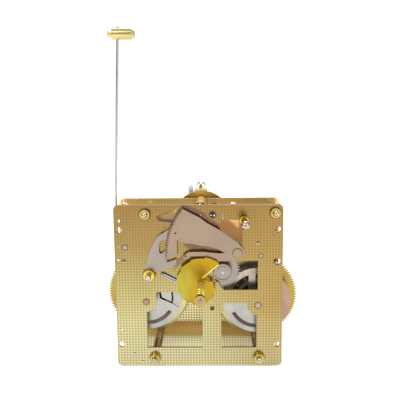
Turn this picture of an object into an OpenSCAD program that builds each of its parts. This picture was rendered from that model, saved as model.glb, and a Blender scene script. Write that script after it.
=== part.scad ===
// Two-train, chain-driven clock movement with rack striking.
// Millimetres. X runs to the right seen from the front, Y runs to the back, Z runs up.
// The origin is the middle of the front plate's bottom edge.

/* [Plates] */
// Width of both plates
plate_w = 100; // [98:0.5:110]
// Height of both plates
plate_h = 100; // [99:0.5:110]
// Thickness of each plate
plate_t = 1.5; // [1.2:0.1:2]
// Clear space between the plates
plate_gap = 22; // [21:0.25:25]
// Corner radius of the plates
plate_r = 3; // [1:0.5:6]
// Radius of the four case screw holes
screw_hole_r = 1.75; // [1:0.05:2.2]
// Distance of the case screw holes from the plate's side edges
screw_inset = 3.1; // [2.8:0.1:4]
// Height of the lower case screw holes in a plate 100 high
screw_low = 13.7; // [8:0.1:20]
// Height of the upper case screw holes in a plate 100 high
screw_high = 84.9; // [80:0.1:88]

/* [Pillars] */
// Radius of the pillars
pillar_r = 2.75; // [2:0.05:3.2]
// Radius of the pillars' threaded ends
pillar_end_r = 1.5; // [1.2:0.05:1.7]
// Radius of the pillar nuts
nut_r = 3.3; // [2.8:0.05:3.5]
// Height of the upper nuts
top_nut_h = 2.8; // [2:0.1:4]
// Height of the lower nuts
low_nut_h = 3.6; // [2:0.1:5]
// Upper left pillar, across and up
pillar_tl_place = [-31.3, 94.6]; // [-50:0.1:100]
// Upper right pillar, across and up
pillar_tr_place = [45.3, 95.1]; // [-50:0.1:100]
// Lower left pillar, across and up
pillar_bl_place = [-27.1, 5.4]; // [-50:0.1:100]
// Lower right pillar, across and up
pillar_br_place = [36.1, 5.7]; // [-50:0.1:100]

/* [Arbor places] */
// Centre arbor, which carries the minute hand. All places move with the plates' size
centre_place = [1.4, 52.5]; // [-50:0.1:100]
// Great arbor of the time train
time_great_place = [35.4, 38.4]; // [-50:0.1:100]
// Second arbor of the time train
time_second_place = [14.2, 59.9]; // [-50:0.1:100]
// Third arbor
third_place = [1.4, 66.1]; // [-50:0.1:100]
// Escape arbor
escape_place = [1.4, 78.26]; // [-50:0.1:100]
// Verge arbor, which carries the anchor
verge_place = [1.4, 93.9]; // [-50:0.1:100]
// Great arbor of the strike train
strike_great_place = [-31.8, 40.8]; // [-50:0.1:100]
// Second arbor of the strike train
strike_second_place = [-10.5, 62.1]; // [-50:0.1:100]
// Cam arbor, which lifts the hammer and gathers the rack
cam_place = [-21.3, 67.1]; // [-50:0.1:100]
// Warning arbor
warning_place = [-22.8, 77.8]; // [-50:0.1:100]
// Fly arbor
fly_place = [-19.8, 86.2]; // [-50:0.1:100]
// Hammer arbor
hammer_place = [-43.2, 74.4]; // [-50:0.1:100]
// Stud of the minute wheel
minute_place = [0.6, 60.0]; // [-50:0.1:100]

/* [Arbors] */
// Radius of the great arbors
great_arbor_r = 2.0; // [1.8:0.05:2.4]
// Radius of the second and centre arbors
mid_arbor_r = 1.1; // [0.9:0.05:1.2]
// Radius of the third, escape, cam, warning and fly arbors
fine_arbor_r = 0.8; // [0.6:0.05:0.9]
// Radius of the verge arbor
verge_arbor_r = 0.5; // [0.4:0.02:0.6]
// Radius of the great arbors' pivots
great_pivot_r = 1.5; // [1.2:0.05:1.7]
// Radius of the second arbors' pivots
mid_pivot_r = 0.8; // [0.6:0.05:0.9]
// Radius of the fine arbors' pivots
fine_pivot_r = 0.5; // [0.3:0.02:0.6]
// Radius of the front end of the centre arbor
hand_arbor_r = 1.05; // [0.9:0.05:1.2]
// Radius of its free tip, which takes the minute hand
hand_tip_r = 0.85; // [0.7:0.05:0.9]
// Length of that tip in front of the hand nut
hand_tip_len = 1.6; // [1:0.1:2]

/* [Teeth] */
// Teeth of both great wheels
great_teeth = 96; // [90:1:100]
// Leaves of both second pinions
second_leaves = 18; // [16:1:20]
// Teeth of the time second wheel
time_second_teeth = 36; // [34:1:38]
// Leaves of the centre pinion
centre_leaves = 16; // [14:1:18]
// Teeth of the centre wheel
centre_teeth = 72; // [70:1:74]
// Leaves of the third and escape pinions
third_leaves = 8; // [7:1:9]
// Teeth of the third wheel
third_teeth = 64; // [60:1:66]
// Teeth of the escape wheel
escape_teeth = 30; // [28:1:32]
// Teeth of the strike second wheel
strike_second_teeth = 60; // [58:1:62]
// Leaves of the cam pinion
cam_leaves = 10; // [9:1:11]
// Teeth of the cam wheel
cam_teeth = 64; // [60:1:66]
// Leaves of the warning and fly pinions
fly_leaves = 8; // [7:1:9]
// Teeth of the warning wheel
warning_teeth = 56; // [54:1:58]
// Leaves of the cannon pinion
cannon_leaves = 12; // [11:1:13]
// Teeth of the minute wheel
minute_teeth = 36; // [34:1:38]
// Leaves of the minute pinion
minute_leaves = 10; // [9:1:11]
// Teeth of the hour wheel
hour_teeth = 40; // [38:1:42]

/* [Wheels] */
// Thickness of the great wheels
great_t = 1.4; // [1:0.1:1.6]
// Thickness of the train wheels
wheel_t = 1.2; // [0.8:0.1:1.3]
// Thickness of the light wheels at the fast end
light_t = 0.9; // [0.6:0.1:1]
// Width of the wheel spokes
spoke_w = 1.8; // [1.2:0.1:2.4]
// Tip radius of the escape wheel
escape_r = 10.3; // [10:0.05:10.6]

/* [Chain wheels] */
// Radius of the chain wheel's front and rear discs
disc_r = 20.5; // [19.5:0.1:21]
// Thickness of the discs
disc_t = 0.8; // [0.6:0.1:1]
// Inner radius of the arcuate slot in the front disc
slot_in_r = 15.2; // [14.6:0.1:15.6]
// Outer radius of the arcuate slot in the front disc
slot_out_r = 17.5; // [17:0.1:18]
// Radius of the chain drum under the spikes
drum_r = 13; // [12:0.1:13.5]
// Radius over the chain spikes
spike_r = 15.5; // [15:0.1:16.5]
// Number of chain spikes
spikes = 15; // [12:1:18]
// Teeth of the ratchet
ratchet_teeth = 24; // [24:12:36]
// Tip radius of the ratchet
ratchet_r = 13; // [12:0.1:13.4]
// Thickness of the ratchet and of the click
ratchet_t = 0.8; // [0.6:0.1:0.9]

/* [Hands and snail] */
// Radius of the cannon pipe
cannon_r = 1.9; // [1.8:0.05:2]
// Length of the cannon pipe in front of the plate
cannon_len = 31; // [28:0.2:33]
// Radius of the hour pipe
hour_r = 2.35; // [2.3:0.05:2.6]
// Length of the hour pipe in front of the plate
hour_len = 17; // [14:0.2:24]
// Radius of the hand nut
hand_nut_r = 3; // [2.6:0.05:3.4]
// Length of the hand nut
hand_nut_len = 2.6; // [2:0.1:3]
// Largest radius of the snail
snail_r = 17.4; // [16.8:0.1:17.8]
// Smallest radius of the snail before its notch
snail_low_r = 5.5; // [5:0.1:6.5]
// Radius of the snail's hub
snail_hub_r = 3.8; // [3.2:0.1:4.2]

/* [Striking levers] */
// Stud of the rack
rack_place = [23.0, 71.5]; // [-50:0.1:100]
// Radius over the rack's teeth
rack_r = 42.2; // [41.8:0.1:42.4]
// Depth of the rack's teeth
rack_tooth = 1.3; // [1:0.1:1.6]
// Number of teeth on the rack
rack_teeth = 20; // [18:1:22]
// Stud of the rack hook
hook_place = [-29.3, 58.6]; // [-50:0.1:100]
// Stud of the lifting lever
lever_place = [-7.5, 50.5]; // [-50:0.1:100]
// Thickness of the rack
rack_t = 1; // [0.8:0.05:1.1]
// Thickness of the hook and of the lifting lever
lever_t = 0.9; // [0.7:0.05:1]
// Radius of the studs that carry the levers
stud_r = 1.3; // [1.1:0.05:1.5]

/* [Hammer] */
// Height of the hammer head's middle
hammer_z = 198.5; // [180:0.5:205]
// Length of the hammer head
head_len = 12.9; // [11:0.1:14]
// Radius of the hammer head
head_r = 3.4; // [3:0.05:3.8]
// Radius of the hammer rod
rod_r = 0.65; // [0.5:0.05:0.8]

/* [Back and top] */
// Radius of the round verge cock
cock_r = 18.3; // [17:0.1:19]
// Distance of the cock from the back plate
cock_gap = 3; // [2.8:0.1:5]
// Radius of the top sleeve
sleeve_r = 3.2; // [3:0.05:3.3]
// Height of the top sleeve's middle
sleeve_z = 98; // [97.8:0.1:98.4]
// Length of the crutch below the verge arbor
crutch_len = 48; // [40:1:60]

/* [Fits] */
// Radial clearance of pivots, pipes and hubs that turn
run_fit = 0.05; // [0.02:0.01:0.09]
// Radial clearance of pieces pressed on an arbor
press_fit = 0.02; // [0.01:0.005:0.03]
// Gap between an arbor's shoulder and its plate
shake = 0.3; // [0.2:0.05:0.4]

/* [Hidden] */
$fn = 48;

// Places are given for plates of 100 by 100 and follow the plates' size
plan = [plate_w / 100, plate_h / 100];
function placed(p) = [p[0] * plan[0], p[1] * plan[1]];
pillar_tl = placed(pillar_tl_place);
pillar_tr = placed(pillar_tr_place);
pillar_bl = placed(pillar_bl_place);
pillar_br = placed(pillar_br_place);
centre_at = placed(centre_place);
time_great_at = placed(time_great_place);
time_second_at = placed(time_second_place);
third_at = placed(third_place);
escape_at = placed(escape_place);
verge_at = placed(verge_place);
strike_great_at = placed(strike_great_place);
strike_second_at = placed(strike_second_place);
cam_at = placed(cam_place);
warning_at = placed(warning_place);
fly_at = placed(fly_place);
hammer_at = placed(hammer_place);
minute_at = placed(minute_place);
rack_at = placed(rack_place);
hook_at = placed(hook_place);
lever_at = placed(lever_place);

// Depths of the two plates' faces
front_out = -plate_t / 2;
front_in = plate_t / 2;
back_in = front_in + plate_gap;
back_out = back_in + plate_t;

// Depths of the wheels between the plates, each counted from the plate that it stays near
low_layer = front_in + 0.75;
cam_layer = front_in + 1.05;
second_layer = front_in + 3.45;
centre_layer = front_in + 5.65;
disc_layer = front_in + 7.65;
warning_layer = front_in + 8.75;
cam_lobe_layer = front_in + 10.35;
fly_layer = front_in + 11.35;
third_layer = back_in - 8.75;
great_layer = back_in - 1.65 - great_t;
ratchet_layer = great_layer - 0.4 - ratchet_t;
click_layer = ratchet_layer + 0.15;
click_t = ratchet_t - 0.15;
pinion_over = 0.3;
leaf_over = 0.2;
fly_end = back_in - 2.75;

// Depths of the pieces in front of the front plate
minute_layer = front_out - 0.45;
hour_layer = minute_layer - 1.1;
hook_layer = front_out - 1.55 - lever_t;
rack_layer = hook_layer - 0.3 - rack_t;
hub_layer = front_out - 4.35;
drum_front = hub_layer + 0.25;
hub_t = 0.5;
snail_t = 1;
snail_layer = hub_layer - hub_t;

// Modules of the meshes, so that each wheel reaches its pinion
great_time_mod = mesh_mod(time_great_at, time_second_at, great_teeth, second_leaves);
second_time_mod = mesh_mod(time_second_at, centre_at, time_second_teeth, centre_leaves);
centre_mod = mesh_mod(centre_at, third_at, centre_teeth, third_leaves);
third_mod = mesh_mod(third_at, escape_at, third_teeth, third_leaves);
great_strike_mod = mesh_mod(strike_great_at, strike_second_at, great_teeth, second_leaves);
second_strike_mod = mesh_mod(strike_second_at, cam_at, strike_second_teeth, cam_leaves);
cam_mod = mesh_mod(cam_at, warning_at, cam_teeth, fly_leaves);
warning_mod = mesh_mod(warning_at, fly_at, warning_teeth, fly_leaves);
minute_mod = mesh_mod(centre_at, minute_at, cannon_leaves, minute_teeth);
hour_mod = mesh_mod(minute_at, centre_at, minute_leaves, hour_teeth);

function mesh_mod(a, b, teeth, leaves) = 2 * norm(b - a) / (teeth + leaves);
function heading(a, b) = atan2(b[1] - a[1], b[0] - a[0]);
// Turn of the second gear that puts a gap where the first gear, at zero turn, has a tooth
function mesh_turn(a, b, teeth, leaves) =
    let (dir = heading(a, b)) dir + 180 + 180 / leaves + dir * teeth / leaves;
function polar(r, a) = r * [cos(a), sin(a)];

// Tooth forms: addendum and dedendum in modules, share of the pitch, tip width in modules
wheel_form = [1.0, 1.5, 0.44, 0.12];
leaf_form = [0.8, 1.6, 0.36, 0.25];
function gear_points(teeth, mod, form) =
    let (
        pitch_r = mod * teeth / 2,
        tip_r = pitch_r + form[0] * mod,
        root_r = pitch_r - form[1] * mod,
        half = form[2] * 180 / teeth,
        half_tip = form[3] * mod / tip_r * 180 / PI
    )
    [for (i = [0 : teeth - 1], p = [[root_r, -half], [pitch_r, -half], [tip_r, -half_tip],
        [tip_r, half_tip], [pitch_r, half], [root_r, half]])
        polar(p[0], i * 360 / teeth + p[1])];

// Places children at an arbor
module at(p) {
    translate([p[0], 0, p[1]]) children();
}
// A cylinder along Y between two depths
module turned(r, y0, y1) {
    translate([0, y0, 0]) rotate([-90, 0, 0]) cylinder(r = r, h = y1 - y0);
}
// A ring along Y between two depths
module ring(r, bore, y0, y1) {
    difference() {
        turned(r, y0, y1);
        turned(bore, y0 - 1, y1 + 1);
    }
}
// A flat outline, drawn across and up, as a sheet that starts at a depth
module sheet(y0, t) {
    translate([0, y0 + t, 0]) rotate([90, 0, 0]) linear_extrude(t) children();
}
// A bar between two flat points, whose round ends stand a little proud of its sides
bar_waist = 0.04;
module bar(a, b, w) {
    side = w - bar_waist;
    translate(a) circle(r = w / 2);
    translate(b) circle(r = w / 2);
    translate(a) rotate(heading(a, b)) translate([0, -side / 2]) square([norm(b - a), side]);
}
// Spaces between the spokes of a wheel
module crossings(outer, inner, spokes) {
    difference() {
        circle(r = outer);
        circle(r = inner);
        for (i = [0 : spokes - 1]) {
            rotate(i * 360 / spokes) translate([0, -spoke_w / 2]) square([outer + 1, spoke_w]);
        }
    }
}
// A spoked or plain toothed wheel with its bore
module wheel(teeth, mod, y0, t, bore, spokes = 4, turn = 0, form = wheel_form) {
    rim_in = mod * teeth / 2 - (form[1] + 3) * mod;
    sheet(y0, t) difference() {
        rotate(turn) polygon(gear_points(teeth, mod, form));
        circle(r = bore);
        if (spokes > 0) {
            crossings(rim_in, bore + 1.5, spokes);
        }
    }
}
// A pinion cut on its arbor
module pinion(leaves, mod, y0, t, turn = 0) {
    sheet(y0, t) rotate(turn) polygon(gear_points(leaves, mod, leaf_form));
}
// An arbor between the plates, with a pivot in each
pivot_over = 0.3;
module arbor(r, pivot) {
    turned(r, front_in + shake, back_in - shake);
    turned(pivot, front_out - pivot_over, back_out + pivot_over);
}

// Outline of both plates
module plate_outline() {
    half = plate_w / 2;
    for (x = [-half + plate_r, half - plate_r], z = [plate_r, plate_h - plate_r]) {
        translate([x, z]) circle(r = plate_r);
    }
    translate([-half, plate_r]) square([plate_w, plate_h - 2 * plate_r]);
    translate([-half + plate_r, 0]) square([plate_w - 2 * plate_r, plate_h]);
}
module hole(p, r) {
    translate(p) circle(r = r);
}
// Holes that both plates share
module shared_holes() {
    for (p = [pillar_tl, pillar_tr, pillar_bl, pillar_br]) {
        hole(p, pillar_end_r + run_fit);
    }
    for (s = [-1, 1], z = [screw_low, screw_high]) {
        hole([s * (plate_w / 2 - screw_inset), z * plan[1]], screw_hole_r);
    }
    for (p = [time_great_at, strike_great_at]) {
        hole(p, great_pivot_r + run_fit);
    }
    for (p = [strike_second_at, hammer_at]) {
        hole(p, mid_pivot_r + run_fit);
    }
    for (p = [third_at, escape_at, cam_at, warning_at, fly_at]) {
        hole(p, fine_pivot_r + run_fit);
    }
}
// Left lower window, with a lobe that carries the strike great pivot
left_window = [[-31.5, 11.7], [2.1, 11.7], [2.1, 46.8], [-25.6, 46.8], [-25.6, 40.8],
    [-31.5, 40.8]];
right_window = [[13.3, 11.7], [34.6, 11.7], [34.6, 39.8], [13.3, 39.8]];
second_window = [[9.4, 54.2], [11.7, 52.7], [13.6, 49.5], [15, 48.1], [35.2, 48.1],
    [35.2, 65.8], [16, 65.8]];
top_window = [[12.3, 86.8], [15, 80], [25.9, 76], [25.9, 90.6], [17.2, 91], [14.7, 90.4],
    [12.8, 88.5]];
lobe_r = 6.3;
second_lobe_r = 4.6;
module windows() {
    difference() {
        union() {
            for (w = [left_window, right_window, second_window, top_window]) {
                polygon([for (q = w) placed(q)]);
            }
        }
        hole(strike_great_at, lobe_r);
        hole(time_great_at, lobe_r);
        hole(time_second_at, second_lobe_r);
    }
}
// Spare holes that the plate has for other models of the same movement
spare_holes = [[8.0, 36.6, 1.35], [8.5, 94.0, 1.7], [14.4, 91.6, 0.8], [35.2, 77.0, 0.9],
    [46.5, 65.4, 2.1], [-46.4, 90.2, 1.1], [-48.0, 66.4, 0.7], [-44.4, 66.1, 1.2],
    [-46.4, 23.0, 0.8], [-39.3, 8.6, 0.5], [-34.5, 3.7, 0.7]];
module front_plate() {
    color("goldenrod") sheet(front_out, plate_t) difference() {
        plate_outline();
        shared_holes();
        windows();
        hole(centre_at, hand_arbor_r + run_fit);
        hole(time_second_at, mid_pivot_r + run_fit);
        hole(verge_at, verge_pivot_r + run_fit);
        for (h = spare_holes) {
            hole(placed(h), h[2]);
        }
    }
}
verge_hole_r = 2.2;
module back_plate() {
    color("goldenrod") sheet(back_in, plate_t) difference() {
        plate_outline();
        shared_holes();
        hole(centre_at, mid_pivot_r + run_fit);
        hole(time_second_at, mid_pivot_r + run_fit);
        hole(verge_at, verge_hole_r);
    }
}

rivet_h = 0.8;
thread_over = 1.2;
pillar_tip_r = 1.8;
module pillar(p, nut_h) {
    tip = front_out - nut_h - thread_over;
    at(p) {
        turned(pillar_r, front_in, back_in);
        turned(pillar_end_r, tip, back_out + rivet_h);
        translate([0, tip, 0]) sphere(r = pillar_tip_r);
    }
}
module pillars() {
    color("silver") {
        for (p = [pillar_tl, pillar_tr]) {
            pillar(p, top_nut_h);
        }
        for (p = [pillar_bl, pillar_br]) {
            pillar(p, low_nut_h);
        }
    }
}
// A nut that narrows a little towards its front
nut_taper = 0.4;
module nut(p, h) {
    at(p) difference() {
        translate([0, front_out, 0]) rotate([90, 0, 0])
            cylinder(r1 = nut_r, r2 = nut_r - nut_taper, h = h);
        turned(pillar_end_r + press_fit, front_out - h - 1, front_out + 1);
    }
}
module top_nuts() {
    color("gold") {
        nut(pillar_tl, top_nut_h);
        nut(pillar_tr, top_nut_h);
    }
}
module bottom_nuts() {
    color("gold") {
        nut(pillar_bl, low_nut_h);
        nut(pillar_br, low_nut_h);
    }
}

// Long post for the dial, with a round tip
dial_post_at = placed([26.9, 91]);
dial_post_len = 17.5;
dial_post_r = 2;
dial_base_r = 2.6;
dial_base_h = 3;
dial_tip_r = 2.6;
module dial_post() {
    color("silver") at(dial_post_at) {
        turned(dial_post_r, front_out - dial_post_len, front_out);
        turned(dial_base_r, front_out - dial_base_h, front_out);
        translate([0, front_out - dial_post_len, 0]) sphere(r = dial_tip_r);
    }
}
stud_tip = 0.9;
minute_stud_tip = 0.4;
module studs() {
    color("silver") {
        at(rack_at) turned(stud_r, rack_layer - stud_tip, front_out);
        at(lever_at) turned(stud_r, minute_layer - lever_t - stud_tip, front_out);
        at(minute_at) turned(fine_arbor_r, hour_layer - lever_t - minute_stud_tip, front_out);
    }
}
hook_post_len = 9.5;
hook_tip_r = 1.8;
module hook_post() {
    color("silver") at(hook_at) {
        turned(stud_r, front_out - hook_post_len, front_out);
        translate([0, front_out - hook_post_len, 0]) sphere(r = hook_tip_r);
    }
}
// Collars that keep the rack and the hook on their studs, and the shoulders behind them
collar_gap = 0.1;
rack_collar_r = 2.8;
rack_collar_h = 0.7;
hook_collar_r = 3.2;
hook_collar_h = 3;
shoulder_r = 2.2;
module stud_collar(p, r, h, lever_front, lever_back) {
    bore = stud_r + press_fit;
    at(p) {
        ring(r, bore, lever_front - collar_gap - h, lever_front - collar_gap);
        ring(shoulder_r, bore, lever_back + collar_gap, front_out);
    }
}
module stud_collars() {
    color("gold") {
        stud_collar(rack_at, rack_collar_r, rack_collar_h, rack_layer, rack_layer + rack_t);
        stud_collar(hook_at, hook_collar_r, hook_collar_h, hook_layer, hook_layer + lever_t);
    }
}
// Bent strip behind the rack's top corner
hook_guard_points = [[-24.6, 93], [-23.5, 90.6], [-15.3, 89.4], [-11.6, 99.2], [-14.6, 96.4]];
hook_guard_t = 0.8;
module hook_guard() {
    color("darkgoldenrod") sheet(front_out - hook_guard_t, hook_guard_t)
        polygon([for (q = hook_guard_points) placed(q)]);
}

// Great wheel, arbor, click and chain wheel of either train
great_bore = great_arbor_r + press_fit;
click_dir = 100;
click_pin_r = 0.7;
click_pin_at = 16.6;
relief_holes = 5;
relief_at = 9.5;
relief_r = 3;
boss_r = 4.5;
boss_h = 0.8;
module great_arbor(p) {
    color("silver") at(p) arbor(great_arbor_r, great_pivot_r);
}
module great_wheel(p, mod) {
    color("gold") at(p) {
        difference() {
            wheel(great_teeth, mod, great_layer, great_t, great_bore, 0);
            for (i = [0 : relief_holes - 1]) {
                rotate([0, -(i + 0.5) * 360 / relief_holes, 0]) translate([relief_at, 0, 0])
                    turned(relief_r, great_layer - 1, great_layer + great_t + 1);
            }
        }
        ring(boss_r, great_bore, great_layer + great_t, great_layer + great_t + boss_h);
        rotate([0, -click_dir, 0]) translate([click_pin_at, 0, 0])
            turned(click_pin_r, click_layer, great_layer);
    }
}
// Click outline along X, with its nose lying in a ratchet gap
click_hub_r = 1.6;
module click(p) {
    bore = click_pin_r + run_fit;
    color("silver") at(p) rotate([0, -click_dir, 0]) sheet(click_layer, click_t) difference() {
        union() {
            translate([click_pin_at, 0]) circle(r = click_hub_r);
            polygon([[click_pin_at - 1.5, -0.6], [click_pin_at + 1.5, 0.4],
                [ratchet_r + 1.6, 5.4], [ratchet_r + 0.35, 5.2]]);
        }
        translate([click_pin_at, 0]) circle(r = bore);
    }
}
// Bent wire spring that rests on the click's back, and its foot on the great wheel
spring_r = 18.9;
spring_w = 0.35;
spring_from = -40;
spring_to = 20;
spring_foot_dir = -38;
spring_foot_r = 0.8;
module click_spring(p) {
    reach = 2 * spring_r;
    color("silver") at(p) rotate([0, -click_dir, 0]) {
        sheet(click_layer, click_t) difference() {
            circle(r = spring_r);
            circle(r = spring_r - spring_w);
            rotate(spring_from) translate([-reach, -reach]) square([2 * reach, reach]);
            rotate(spring_to) translate([-reach, 0]) square([2 * reach, reach]);
        }
        rotate([0, -spring_foot_dir, 0]) translate([spring_r - spring_w / 2, 0, 0])
            turned(spring_foot_r, click_layer, great_layer);
    }
}
ratchet_depth = 1.4;
function ratchet_points() =
    [for (i = [0 : ratchet_teeth - 1], s = [[ratchet_r, 0.1], [ratchet_r - ratchet_depth, 0.12],
        [ratchet_r - ratchet_depth, 0.2]])
        polar(s[0], (i + s[1]) * 360 / ratchet_teeth)];
// Chain wheel: ratchet, rear disc, hub and a hollow drum with spikes for the links
spike_w = 1.2;
spike_t = 2.4;
drum_wall = 1.6;
drum_hub_r = 5;
module chain_wheel(p) {
    bore = great_arbor_r + run_fit;
    y0 = disc_layer + disc_t;
    y1 = ratchet_layer - disc_t;
    mid = (y0 + y1) / 2;
    color("silver") at(p) {
        ring(drum_r, drum_r - drum_wall, y0, y1);
        ring(drum_hub_r, bore, y0, y1);
        ring(disc_r, bore, y1, ratchet_layer);
        sheet(ratchet_layer, ratchet_t) difference() {
            polygon(ratchet_points());
            circle(r = bore);
        }
        for (i = [0 : spikes - 1]) {
            rotate([0, -i * 360 / spikes, 0]) translate([drum_r - 0.5, mid - spike_t / 2, -spike_w / 2])
                cube([spike_r - drum_r + 0.5, spike_t, spike_w]);
        }
    }
}
// A band between two radii and two directions less than a half turn apart
module band(r0, r1, from, to) {
    far = 2 * r1;
    intersection() {
        difference() {
            circle(r = r1);
            circle(r = r0);
        }
        polygon([[0, 0], polar(far, from), polar(far, (from + to) / 2), polar(far, to)]);
    }
}
// Openings of the time train's disc on both sides of an upright strap
fork_in_r = 8;
fork_out_r = 16.8;
fork_from = 45;
fork_to = 165;
strap_x = -5.1;
strap_w = 4.3;
module fork_openings() {
    difference() {
        band(fork_in_r, fork_out_r, fork_from, fork_to);
        translate([strap_x, 0]) square([strap_w, disc_r]);
    }
}
// Narrow slot that frees the strike train's tongue, and its fine cut to the edge
tongue_w = 1.15;
tongue_in = polar(8, -4);
tongue_out = polar(15.3, -14);
tongue_cut = polar(21, -20);
tongue_cut_w = 0.4;
tongue_to = 60;
module tongue_slot() {
    for (p = [tongue_in, tongue_out]) {
        band(norm(p) - tongue_w / 2, norm(p) + tongue_w / 2, heading([0, 0], p), tongue_to);
    }
    bar(tongue_in, tongue_out, tongue_w + bar_waist);
    bar(tongue_out, tongue_cut, tongue_cut_w);
}
// Grey front disc with its curved slot and its own openings
module click_disc(p, slot_from, slot_to) {
    color("silver") at(p) sheet(disc_layer, disc_t) difference() {
        circle(r = disc_r);
        circle(r = great_arbor_r + run_fit);
        band(slot_in_r, slot_out_r, slot_from, slot_to);
        children();
    }
}

module time_great_arbor() {
    great_arbor(time_great_at);
}
module time_great_wheel() {
    great_wheel(time_great_at, great_time_mod);
}
module time_click() {
    click(time_great_at);
}
module time_click_spring() {
    click_spring(time_great_at);
}
module time_chain_wheel() {
    chain_wheel(time_great_at);
}
module time_click_disc() {
    click_disc(time_great_at, -152, -62) fork_openings();
}
module strike_great_arbor() {
    great_arbor(strike_great_at);
}
module strike_great_wheel() {
    great_wheel(strike_great_at, great_strike_mod);
}
module strike_click() {
    click(strike_great_at);
}
module strike_click_spring() {
    click_spring(strike_great_at);
}
module strike_chain_wheel() {
    chain_wheel(strike_great_at);
}
module strike_click_disc() {
    click_disc(strike_great_at, -118, -33) tongue_slot();
}

// Time train
front_drum_r = 5.2;
module time_second_arbor() {
    turn = mesh_turn(time_great_at, time_second_at, great_teeth, second_leaves);
    color("silver") at(time_second_at) {
        arbor(mid_arbor_r, mid_pivot_r);
        pinion(second_leaves, great_time_mod, great_layer - pinion_over, great_t + 2 * pinion_over,
            turn);
        turned(mid_pivot_r, drum_front, front_out);
    }
}
module time_second_wheel() {
    color("silver") at(time_second_at)
        wheel(time_second_teeth, second_time_mod, low_layer, wheel_t, mid_arbor_r + press_fit, 0);
}
// Grooved drum on the front end of the second arbor
rim_w = 0.7;
groove_h = 0.8;
groove_w = 0.9;
face_sink = 0.25;
drum_lift = 0.45;
module front_drum() {
    bore = mid_pivot_r + press_fit;
    floor_y = drum_front + groove_h;
    color("silver") at(time_second_at) {
        ring(front_drum_r, front_drum_r - rim_w, drum_front, floor_y);
        ring(front_drum_r, bore, floor_y, front_out - drum_lift);
        ring(front_drum_r - rim_w - groove_w, bore, drum_front + face_sink, floor_y);
    }
}
nut_front = front_out - cannon_len - hand_nut_len;
module centre_arbor() {
    turn = mesh_turn(time_second_at, centre_at, time_second_teeth, centre_leaves);
    color("silver") at(centre_at) {
        turned(mid_arbor_r, front_in + shake, back_in - shake);
        turned(mid_pivot_r, back_in - shake - 1, back_out + shake);
        turned(hand_arbor_r, nut_front, front_in + shake + 1);
        turned(hand_tip_r, nut_front - hand_tip_len, nut_front + 1);
        pinion(centre_leaves, second_time_mod, low_layer - leaf_over, wheel_t + 2 * leaf_over, turn);
    }
}
module centre_wheel() {
    color("gold") at(centre_at)
        wheel(centre_teeth, centre_mod, centre_layer, wheel_t, mid_arbor_r + press_fit, 5);
}
// Cannon pinion with two raised bands on its pipe
bands = [2.5, 6.5];
band_len = 1.2;
band_over = 0.25;
module cannon_pinion() {
    bore = hand_arbor_r + press_fit;
    y1 = minute_layer + 0.05;
    y0 = minute_layer - lever_t;
    color("gold") at(centre_at) difference() {
        union() {
            pinion(cannon_leaves, minute_mod, y0, y1 - y0);
            turned(cannon_r, front_out - cannon_len, y0);
            for (d = bands) {
                y = front_out - hour_len - d;
                turned(cannon_r + band_over, y - band_len, y);
            }
        }
        turned(bore, front_out - cannon_len - 1, front_out);
    }
}
module hand_nut() {
    color("gold") at(centre_at) ring(hand_nut_r, hand_arbor_r + press_fit,
        nut_front, front_out - cannon_len);
}
module third_arbor() {
    turn = mesh_turn(centre_at, third_at, centre_teeth, third_leaves);
    color("silver") at(third_at) {
        arbor(fine_arbor_r, fine_pivot_r);
        pinion(third_leaves, centre_mod, centre_layer - leaf_over, wheel_t + 2 * leaf_over, turn);
    }
}
module third_wheel() {
    color("gold") at(third_at)
        wheel(third_teeth, third_mod, third_layer, light_t, fine_arbor_r + press_fit, 4);
}
module escape_arbor() {
    turn = mesh_turn(third_at, escape_at, third_teeth, third_leaves);
    color("silver") at(escape_at) {
        arbor(fine_arbor_r, fine_pivot_r);
        pinion(third_leaves, third_mod, third_layer - leaf_over, light_t + 2 * leaf_over, turn);
    }
}
// Escape teeth lean forward, each with a fine tip
function escape_points() =
    [for (i = [0 : escape_teeth - 1], s = [[escape_r - 1.9, 0.1], [escape_r, 0.62],
        [escape_r, 0.68], [escape_r - 1.9, 0.75]])
        polar(s[0], (i + s[1]) * 360 / escape_teeth)];
module escape_wheel() {
    color("gold") at(escape_at) sheet(low_layer, light_t) difference() {
        polygon(escape_points());
        circle(r = fine_arbor_r + press_fit);
        crossings(escape_r - 3.2, fine_arbor_r + 1.6, 4);
    }
}

// Verge, anchor and crutch
verge_pivot_r = 0.4;
pallet_gap = 0.3;
pallet_dir = 46;
pallet_over = 0.15;
crutch_layer = back_out + 0.9;
cock_layer = back_out + cock_gap;
module verge_arbor() {
    color("silver") at(verge_at) {
        turned(verge_arbor_r, front_in + shake, cock_layer - shake);
        turned(verge_pivot_r, front_out - pivot_over, cock_layer + plate_t + pivot_over);
    }
}
// Anchor whose pallets stay just outside the escape wheel's tips over the whole swing
hub_r = 2;
anchor_arm_w = 1.6;
elbow_out = 1.6;
elbow_up = 2.6;
module anchor() {
    drop = verge_at[1] - escape_at[1];
    reach = escape_r + pallet_gap;
    color("silver") at(verge_at) sheet(low_layer - pallet_over, light_t + 2 * pallet_over) difference() {
        union() {
            circle(r = hub_r);
            for (s = [-1, 1]) {
                toe = [s * reach * sin(pallet_dir), reach * cos(pallet_dir) - drop];
                elbow = toe + [s * elbow_out, elbow_up];
                bar([0, 0], elbow, anchor_arm_w);
                polygon([elbow + [-0.6 * s, 0.3], elbow + [0.7 * s, 0.2], toe + [1.1 * s, 0.5],
                    toe + [0.1 * s, 0.5]]);
            }
        }
        circle(r = verge_arbor_r + press_fit);
        translate([0, -drop]) circle(r = reach);
    }
}
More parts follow.
